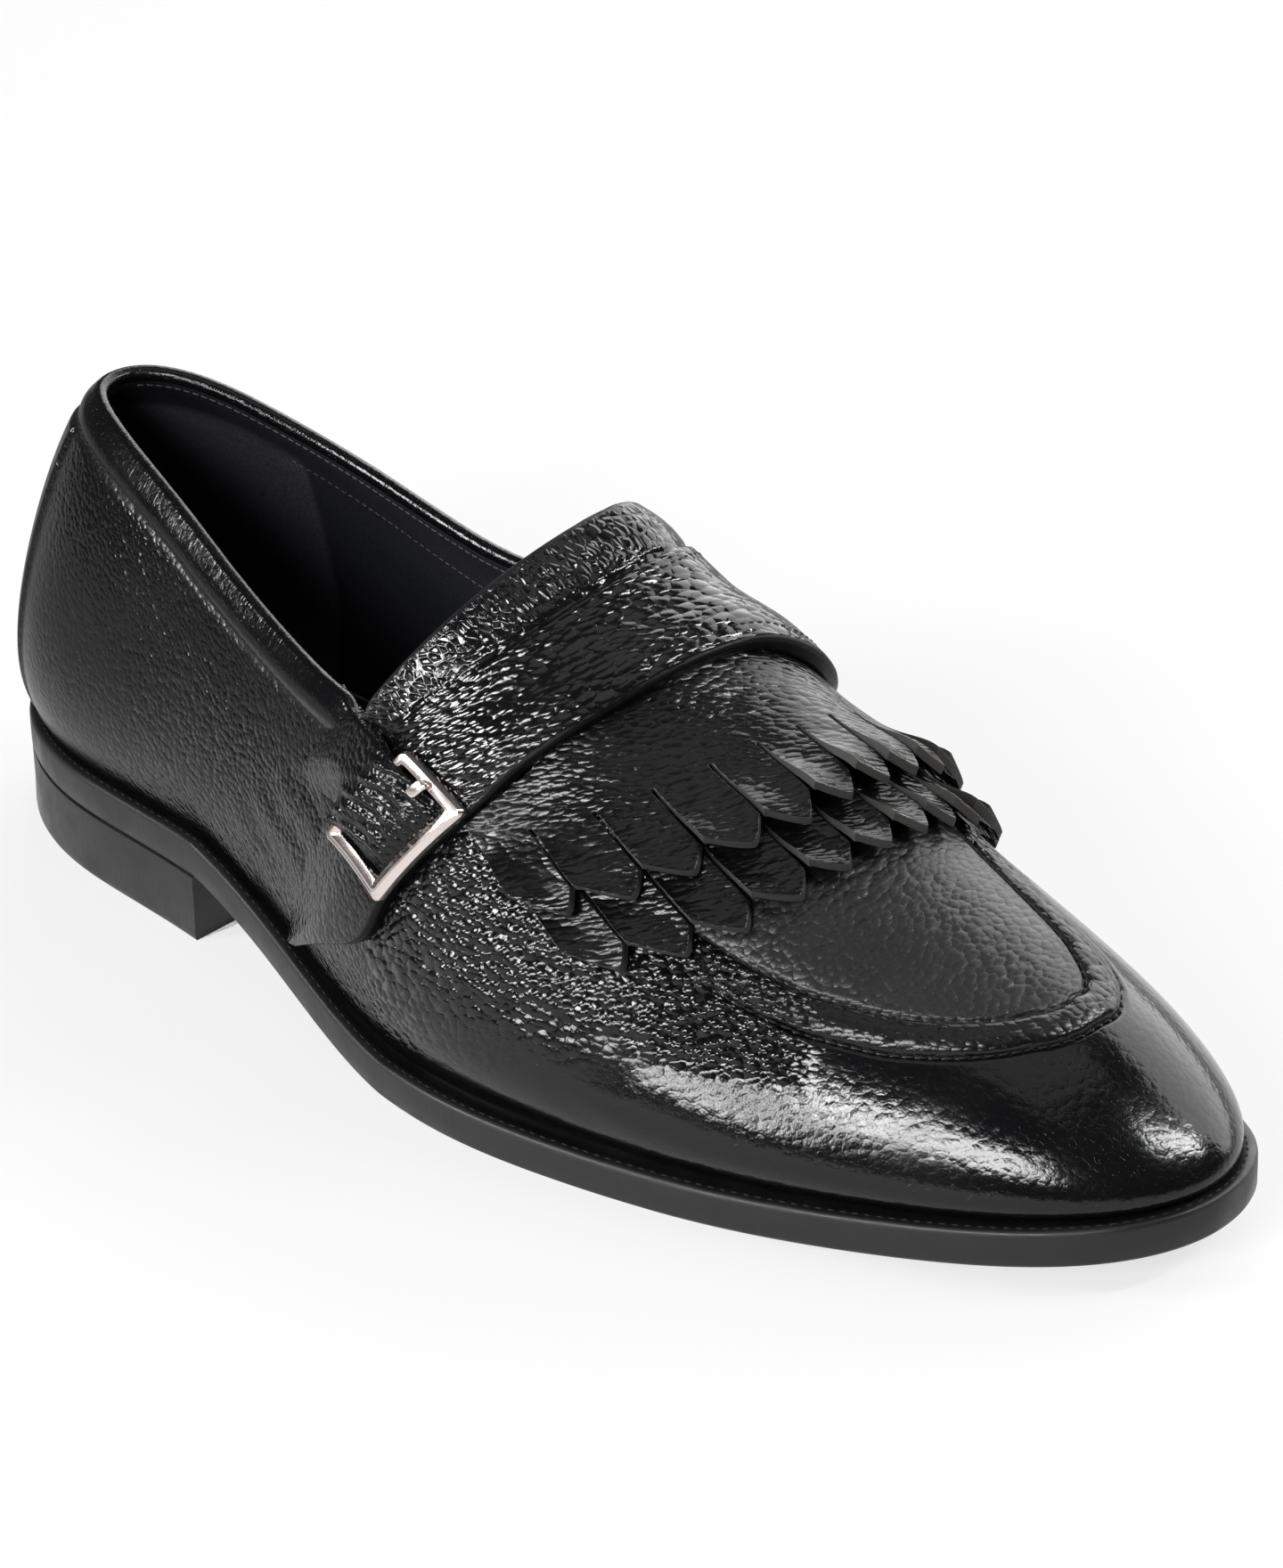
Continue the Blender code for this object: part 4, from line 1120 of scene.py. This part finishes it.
class Look:
    """Builds the node tree of one material."""

    def __init__(self, name, **values):
        self.material = bpy.data.materials.new(name)
        self.material.use_nodes = True
        self.tree = self.material.node_tree
        self.shader = self.tree.nodes["Principled BSDF"]
        for key, value in values.items():
            self.shader.inputs[key.replace("_", " ")].default_value = value

    def node(self, kind, inputs=(), **settings):
        made = self.tree.nodes.new(kind)
        for key, value in settings.items():
            setattr(made, key, value)
        for key, value in dict(inputs).items():
            if isinstance(value, bpy.types.NodeSocket):
                self.tree.links.new(value, made.inputs[key])
            else:
                made.inputs[key].default_value = value
        return made

    def place(self):
        """Position in the piece's own space, in metres."""
        return self.node("ShaderNodeTexCoord").outputs["Object"]

    def math(self, operation, a, b=0.0, c=0.0):
        return self.node("ShaderNodeMath", {0: a, 1: b, 2: c}, operation=operation).outputs[0]

    def vector(self, operation, a, b):
        """Vector that an operation on two vectors gives."""
        return self.node("ShaderNodeVectorMath", {0: a, 1: b}, operation=operation).outputs["Vector"]

    def number(self, operation, a, b):
        """Number that an operation on two vectors gives, such as a dot product or a distance."""
        return self.node("ShaderNodeVectorMath", {0: a, 1: b}, operation=operation).outputs["Value"]

    def drawn_out(self, vector, lengths, turn=0.0):
        """Texture space made longer along its own axes, turned about the y axis by an angle."""
        inputs = {"Vector": vector, "Scale": lengths, "Rotation": (0.0, turn, 0.0)}
        return self.node("ShaderNodeMapping", inputs, vector_type="TEXTURE").outputs[0]

    def noise(self, vector, scale, detail=2.0, colour=False):
        made = self.node("ShaderNodeTexNoise", {"Vector": vector, "Scale": scale, "Detail": detail})
        return made.outputs[1 if colour else 0]

    def span(self, value, low, high, out_low=0.0, out_high=1.0):
        """Smooth step of a value between two limits, from one result to another."""
        inputs = {0: value, 1: low, 2: high, 3: out_low, 4: out_high}
        return self.node("ShaderNodeMapRange", inputs, interpolation_type="SMOOTHSTEP").outputs[0]

    def warped(self, vector, scale, amount):
        """The vector moved by smooth noise, so that cells lose their regular look."""
        push = self.vector("SUBTRACT", self.noise(vector, scale, 2.0, colour=True), (0.5, 0.5, 0.5))
        return self.vector("ADD", vector, self.vector("MULTIPLY", push, (amount, amount, amount)))

    def pebbles(self, vector, size, lean, groove=None):
        """Height of pebbles of a size in millimetres, each leaning its own way.

        They are domes that meet in creases, or flat with grooves whose width is a share of the size.
        """
        scale = 1000.0 / size
        cell = self.node("ShaderNodeTexVoronoi", {"Vector": vector, "Scale": scale}).outputs
        near = cell["Distance"]
        if groove is None:
            top = self.math("MULTIPLY_ADD", self.math("MULTIPLY", near, near), -1.0, 1.0)
        else:
            second = self.node("ShaderNodeTexVoronoi", {"Vector": vector, "Scale": scale}, feature="F2")
            top = self.span(self.math("SUBTRACT", second.outputs["Distance"], near), 0.0, groove)
        way = self.vector("SUBTRACT", cell["Color"], (0.5, 0.5, 0.5))
        facet = self.number("DOT_PRODUCT", way, self.vector("SUBTRACT", vector, cell["Position"]))
        return self.math("MULTIPLY", top, self.math("MULTIPLY_ADD", facet, lean * scale, 1.0))

    def bump(self, height, distance):
        return self.node("ShaderNodeBump", {"Height": height, "Distance": distance}).outputs[0]

    def trait(self, name):
        return self.node("ShaderNodeAttribute", attribute_name=name).outputs["Fac"]

    def blend(self, share, first, second):
        made = self.node("ShaderNodeMixRGB", {"Fac": share, "Color1": first, "Color2": second})
        return made.outputs[0]

    def feed(self, socket, name):
        self.tree.links.new(socket, self.shader.inputs[name])


# Leather: wide folds as a share of the grain's depth, depth of gathers and of the finest grain in
# millimetres, and what the trait of lost gloss adds to the roughness
FOLD_SHARE = 0.4
PLEAT_DEPTH = 0.2
FINE_GRAIN = 0.034
DULLING = 0.36
# Its noise: scale per metre and shift in metres of the wide waver, and of the small waver for pebbles
# of 1 mm; scale of the folds for such pebbles, of the finest grain and of wear
WIDE_WAVER = (75.0, 0.0012)
SMALL_WAVER = (420.0, 0.0005)
FOLD_SCALE = 300.0
FINE_SCALE = 1900.0
WEAR_SCALE = 60.0


def leather_look(name, roughness, pebble, lengths, depth, turn=None, pleats=(1.0, 1.0, 1.0),
                 pleat_size=1.0, specular=0.3, lean=0.8):
    """Black grained leather: pebbles with creases between them, sizes in millimetres.

    The grain lies along the piece's skin, or through space where it has a turn. The piece's traits set
    the depth of the grain, the loss of gloss and the share of the gathered grain.
    """
    look = Look(name, Base_Color=(0.002, 0.002, 0.0024, 1), Specular_IOR_Level=specular, Coat_Weight=0.1,
                Coat_Roughness=0.06)
    skin = look.node("ShaderNodeUVMap", uv_map="skin").outputs[0]
    place = look.warped(skin if turn is None else look.place(), *WIDE_WAVER)
    drawn = look.drawn_out(place, lengths, turn or 0.0)
    drawn = look.warped(drawn, SMALL_WAVER[0] / pebble, SMALL_WAVER[1] * pebble)
    height = look.pebbles(drawn, pebble, lean)
    height = look.math("MULTIPLY_ADD", look.noise(drawn, FOLD_SCALE / pebble, 2.0), FOLD_SHARE, height)
    height = look.math("MULTIPLY", height, look.trait("grain"))
    gathers = look.pebbles(look.drawn_out(skin, pleats), pleat_size, 2.2, 0.5)
    pleat = look.trait("pleat")
    height = look.math("MULTIPLY", height, look.math("SUBTRACT", 1.0, pleat))
    height = look.math("MULTIPLY_ADD", gathers, look.math("MULTIPLY", pleat, PLEAT_DEPTH / depth), height)
    height = look.math("MULTIPLY_ADD", look.noise(place, FINE_SCALE, 3.0), FINE_GRAIN / depth, height)
    grained = look.bump(height, depth * MM)
    look.feed(grained, "Normal")
    look.feed(grained, "Coat Normal")
    worn = look.span(look.noise(place, WEAR_SCALE, 3.0), 0.3, 0.7, roughness - 0.03, roughness + 0.05)
    look.feed(look.math("MULTIPLY_ADD", look.trait("dull"), DULLING, worn), "Roughness")
    return look.material


def edge_look(name, colour, roughness, specular, scale, depth):
    """Cut or painted leather edge with a faint nap; a near black one with little gloss also stands for
    painted shade.
    """
    look = Look(name, Base_Color=(*colour, 1), Specular_IOR_Level=specular)
    nap = look.noise(look.place(), scale, 4.0)
    look.feed(look.bump(nap, depth * MM), "Normal")
    look.feed(look.span(nap, 0.2, 0.8, roughness - 0.1, roughness + 0.1), "Roughness")
    return look.material


def lining_look(name):
    """Navy lining, darker along the collar where the lamps reach and paler below its seam as painted fill
    light in the shade deep inside, and a suede heel pocket.
    """
    look = Look(name, Specular_IOR_Level=0.2)
    nap = look.noise(look.place(), 1400.0, 4.0)
    look.feed(look.bump(nap, 0.1 * MM), "Normal")
    # Dark and pale navy across the seam: painted shade by the collar and painted fill light deep inside;
    # the seam itself is real.
    painted_fill_tone = look.blend(look.trait("grain"), (0.006, 0.006, 0.008, 1), (0.009, 0.0095, 0.013, 1))
    suede = look.blend(look.span(nap, 0.3, 0.7), (0.02, 0.021, 0.026, 1), (0.034, 0.034, 0.041, 1))
    look.feed(look.blend(look.trait("dull"), painted_fill_tone, suede), "Base Color")
    look.feed(look.span(nap, 0.2, 0.8, 0.55, 0.75), "Roughness")
    return look.material


def rubber_look(name, colour, roughness):
    """Smooth sole rubber with faint upright streaks and uneven gloss."""
    look = Look(name, Base_Color=(*colour, 1), Specular_IOR_Level=0.36)
    place = look.place()
    streak = look.noise(look.drawn_out(place, (1.0, 1.0, 6.0)), 900.0, 3.0)
    look.feed(look.bump(streak, 0.05 * MM), "Normal")
    gloss = look.noise(place, 120.0, 3.0)
    look.feed(look.span(gloss, 0.25, 0.75, roughness - 0.08, roughness + 0.1), "Roughness")
    return look.material


def metal_look(name):
    """Warm polished metal with slightly uneven gloss."""
    look = Look(name, Base_Color=(0.72, 0.64, 0.61, 1), Metallic=1.0)
    marks = look.noise(look.place(), 150.0, 2.0)
    look.feed(look.span(marks, 0.3, 0.8, 0.19, 0.25), "Roughness")
    return look.material


def thread_look(name, colour):
    look = Look(name, Base_Color=(*colour, 1), Roughness=0.6, Specular_IOR_Level=0.2)
    look.feed(look.bump(look.noise(look.place(), 3500.0, 2.0), 0.08 * MM), "Normal")
    return look.material


# Floor and its glow, metres; in reflections the glow falls off round a point, as under a pool of light
FLOOR_HALF = 3.0
FLOOR_GLOW = 0.72
POOL_CENTRE = (0.06, -0.03, 0.0)
POOL_FADE = (0.2, 0.34)
POOL_FAR = 0.1
WORLD_LIGHT = 0.08
LIGHT_AIM_Z = 0.04
# Soft boxes: name, azimuth from -Y towards +X, elevation, distance, width and height, power, tilt
LIGHTS = [
    ("key_box", 19.5, 30, 1.3, (0.52, 0.26), 11.5, 2),
    ("side_box", 2.2, 20.5, 1.3, (0.113, 0.62), 5.6, -21),
    ("low_box", -11, 12, 1.3, (0.32, 0.16), 4.2, 0),
    ("left_box", -38, 24, 1.3, (0.3, 0.42), 13, 0),
    ("toe_box", 124, 41, 1.3, (0.7, 0.13), 11, -42),
    ("back_wall", -172, 26, 1.7, (2.6, 1.6), 42, 0),
    ("top_box", 0, 88, 1.5, (1.2, 1.2), 2.8, 0)]


def area_light(name, azimuth, elevation, distance, size, power, tilt):
    """Soft box seen from the shoe in a direction, turned to it and tilted in its own plane."""
    data = bpy.data.lights.new(name, "AREA")
    data.shape = "RECTANGLE"
    data.size, data.size_y = size
    data.energy = power
    obj = bpy.data.objects.new(name, data)
    a, e = math.radians(azimuth), math.radians(elevation)
    way = Vector((math.sin(a) * math.cos(e), -math.cos(a) * math.cos(e), math.sin(e)))
    obj.location = way * distance + Vector((0, 0, LIGHT_AIM_Z))
    obj.rotation_mode = "QUATERNION"
    tilted = Quaternion((0, 0, 1), math.radians(tilt))
    obj.rotation_quaternion = (-way).to_track_quat("-Z", "Y") @ tilted
    bpy.context.scene.collection.objects.link(obj)


def floor_look():
    """White paper that glows evenly in every view; what it throws on the shoe is a pool of light."""
    look = Look("floor_paper", Base_Color=(0.14, 0.14, 0.14, 1), Roughness=0.8,
                Emission_Color=(1, 1, 1, 1))
    away = look.number("DISTANCE", look.place(), POOL_CENTRE)
    pool = look.span(away, *POOL_FADE, FLOOR_GLOW, POOL_FAR)
    seen = look.node("ShaderNodeLightPath").outputs["Is Camera Ray"]
    look.feed(look.math("MAXIMUM", pool, look.math("MULTIPLY", seen, FLOOR_GLOW)), "Emission Strength")
    return look.material


def studio():
    """Floor, faint world light and the soft boxes."""
    mesh = bpy.data.meshes.new("floor")
    corners = [(x * FLOOR_HALF, y * FLOOR_HALF, 0) for x, y in ((-1, -1), (1, -1), (1, 1), (-1, 1))]
    mesh.from_pydata(corners, [], [(0, 1, 2, 3)])
    mesh.materials.append(floor_look())
    floor = bpy.data.objects.new("floor", mesh)
    bpy.context.scene.collection.objects.link(floor)
    world = bpy.data.worlds.new("studio")
    world.use_nodes = True
    background = world.node_tree.nodes["Background"]
    background.inputs["Color"].default_value = (1, 1, 1, 1)
    background.inputs["Strength"].default_value = WORLD_LIGHT
    bpy.context.scene.world = world
    for row in LIGHTS:
        area_light(*row)
    bpy.context.scene.view_settings.view_transform = "Standard"


def camera():
    """Camera of the photograph, with its roll and the shift of its frame."""
    azimuth, elevation, roll = (math.radians(v) for v in (CAMERA_AZIMUTH, CAMERA_ELEVATION, CAMERA_ROLL))
    back = np.array([math.sin(azimuth) * math.cos(elevation), -math.cos(azimuth) * math.cos(elevation),
                     math.sin(elevation)])
    right = np.array([math.cos(azimuth), math.sin(azimuth), 0.0])
    up = np.cross(back, right)
    image_x = right * math.cos(roll) + up * math.sin(roll)
    image_y = -right * math.sin(roll) + up * math.cos(roll)
    data = bpy.data.cameras.new("camera")
    data.sensor_width = SENSOR
    data.lens = FOCAL_PIXELS / IMAGE_LONG_SIDE * SENSOR
    data.shift_x = SHIFT_PIXELS[0] / IMAGE_LONG_SIDE
    data.shift_y = SHIFT_PIXELS[1] / IMAGE_LONG_SIDE
    obj = bpy.data.objects.new("camera", data)
    place = (CAMERA_AIM - ORIGIN + back * CAMERA_DISTANCE) * MM
    turn = Matrix([image_x, image_y, back]).transposed().to_4x4()
    obj.matrix_world = Matrix.Translation(Vector(place)) @ turn
    bpy.context.scene.collection.objects.link(obj)
    bpy.context.scene.camera = obj


def skin_line(x, t, offset):
    """Points at a height over the last, and the last's normals there."""
    return LAST.lifted(x, t, np.broadcast_to(offset, x.shape)), LAST.normal(x, t)


# Stitch rows: stations where they start or end, distances from the lines they follow, millimetres
COLLAR_STITCH_X = (FEATHER_START_X + 0.2, 126)
LINING_STITCH_END_X = 132
LINING_EDGE_DROP = 1.6
STRAP_STITCH_REAR = RIM_BAND + 2.0
STRAP_STITCH_FRONT = 3.4
APRON_STITCH_X = 212
APRON_STITCH_AT = BEAD_HALF + 0.2
WELT_STITCH_INSET = 1.9


def collar_stitches(thread, pale_thread):
    """Row under the collar band, and the lining's rows along its seam and its edge on the inner side."""
    xs = np.linspace(*COLLAR_STITCH_X, 240)
    for side, name in ((-1, "outer"), (1, "inner")):
        d = rim_distance(xs, side) + COLLAR_BAND
        stitch_row("collar_stitch_" + name, thread, "upper", *skin_line(xs, side * d, -0.2))
    lines = (("seam", 48, SEAM_DROP, WALL), ("edge", 6, LINING_EDGE_DROP, 2 * COLLAR_ROLL))
    for name, start, drop, depth in lines:
        xs = np.linspace(start, LINING_STITCH_END_X, 220)
        points, normals = skin_line(xs, rim_distance(xs, 1) + drop, -depth)
        stitch_row("lining_stitch_" + name, pale_thread, "upper", points, -normals, pitch=1.9, length=1.5,
                   radius=0.14, sink=0.02)


def strap_stitches(thread):
    """Rows behind the strap's front edge and in front of its gathered rim."""
    t = np.linspace(-66, 62, 200)
    rear, front = strap_rear(t), strap_front(t)
    wide = front - rear
    raised, quarter = tucked(t), quarter_share(t)
    for name, c in (("rear", STRAP_STITCH_REAR / wide), ("front", 1 - STRAP_STITCH_FRONT / wide)):
        points, normals = skin_line(rear + wide * c, t, strap_top(t, c, wide, raised, quarter))
        stitch_row("strap_stitch_" + name, thread, "strap", points, normals)


def fringe_stitches(thread):
    """Row across the fringe behind the upper layer's slits."""
    t = np.linspace(-60, 48, 160)
    slit = corner_x(t) - FLAP_LENGTH
    x = slit - 0.4 - 2.8 * ramp(t, -48, -15)
    height = upper_layer_low(x, upper_layer_root(t), slit) + LAYER_THICK - 0.15
    points, normals = skin_line(x, t, height)
    stitch_row("fringe_stitch", thread, "fringe", points, normals, pitch=1.9, length=1.4, radius=0.22)


def apron_stitches(thread):
    """Rows in the grooves on either side of the apron bead, round the toe."""
    stations = FEATHER.station(np.linspace(FEATHER.angle(APRON_STITCH_X), math.pi, 240))
    x = np.concatenate([stations, stations[::-1]])
    for name, off in (("inner", -APRON_STITCH_AT), ("outer", APRON_STITCH_AT)):
        outer_side = -(bead_centre(stations, -1) + off)
        inner_side = bead_centre(stations, 1) + off
        t = np.concatenate([outer_side, inner_side[::-1]])
        points, normals = skin_line(x, t, -0.35)
        keep = np.concatenate([[True], np.linalg.norm(np.diff(points, axis=0), axis=1) > 1e-3])
        stitch_row("apron_stitch_" + name, thread, "upper", points[keep], normals[keep], pitch=2.4)


def welt_stitches(thread):
    """Rows on the sole's ledge on either side."""
    angle = np.linspace(0, math.pi, 500)
    for side, name in ((-1, "outer"), (1, "inner")):
        plan = SOLE.at(angle, side) - SOLE.outward(angle, side) * WELT_STITCH_INSET
        points = np.column_stack([plan, sole_bottom(plan[:, 0]) + SOLE_THICK])
        normals = np.tile([0.0, 0.0, 1.0], (len(points), 1))
        stitch_row("welt_stitch_" + name, thread, "outsole", points, normals, pitch=2.4, radius=0.24)


def main():
    hide = leather_look("hide", 0.13, 1.5, (1.4, 1.0, 1.0), 0.5, turn=-0.41, lean=1.2)
    quarter = leather_look("quarter_hide", 0.14, 1.05, (1.3, 1.0, 1.0), 0.21, turn=0.5,
                           pleats=(1.0, 9.0, 1.0), pleat_size=0.8, specular=0.25)
    apron = leather_look("apron_hide", 0.42, 1.25, (1.0, 1.5, 1.0), 0.24, turn=0.0, specular=0.44)
    band = leather_look("band_hide", 0.13, 1.25, (1.0, 2.2, 1.0), 0.46, pleats=(1.5, 1.0, 1.0),
                        pleat_size=1.4, specular=0.42)
    fringe = leather_look("fringe_hide", 0.23, 0.95, (1.0, 2.2, 1.0), 0.23)
    cut = edge_look("cut_edge", (0.03, 0.0285, 0.027), 0.6, 0.3, 1800.0, 0.08)
    # Near black, weakly reflecting front edge of the strap: edge paint, and painted shade where it lies
    # in the buckle's shadow.
    dark_edge_and_shade = edge_look("edge_paint_and_painted_shade", (0.0015, 0.0015, 0.0015), 0.4, 0.12, 900.0, 0.04)
    lining = lining_look("lining_hide")
    rubber = rubber_look("sole_rubber", (0.007, 0.007, 0.0075), 0.42)
    thread = thread_look("black_thread", (0.006, 0.006, 0.007))
    pale_thread = thread_look("grey_thread", (0.05, 0.05, 0.055))
    metal = metal_look("buckle_metal")
    upper_piece([hide, lining, apron, quarter])
    strap_piece([band, quarter, dark_edge_and_shade])
    fringe_pieces([fringe, cut])
    frame_piece(metal)
    prong_piece(metal)
    tab_piece(quarter)
    sole_piece(rubber)
    heel_piece(rubber)
    sock_piece(lining)
    collar_stitches(thread, pale_thread)
    strap_stitches(thread)
    fringe_stitches(thread)
    apron_stitches(thread)
    welt_stitches(thread)
    studio()
    camera()


main()
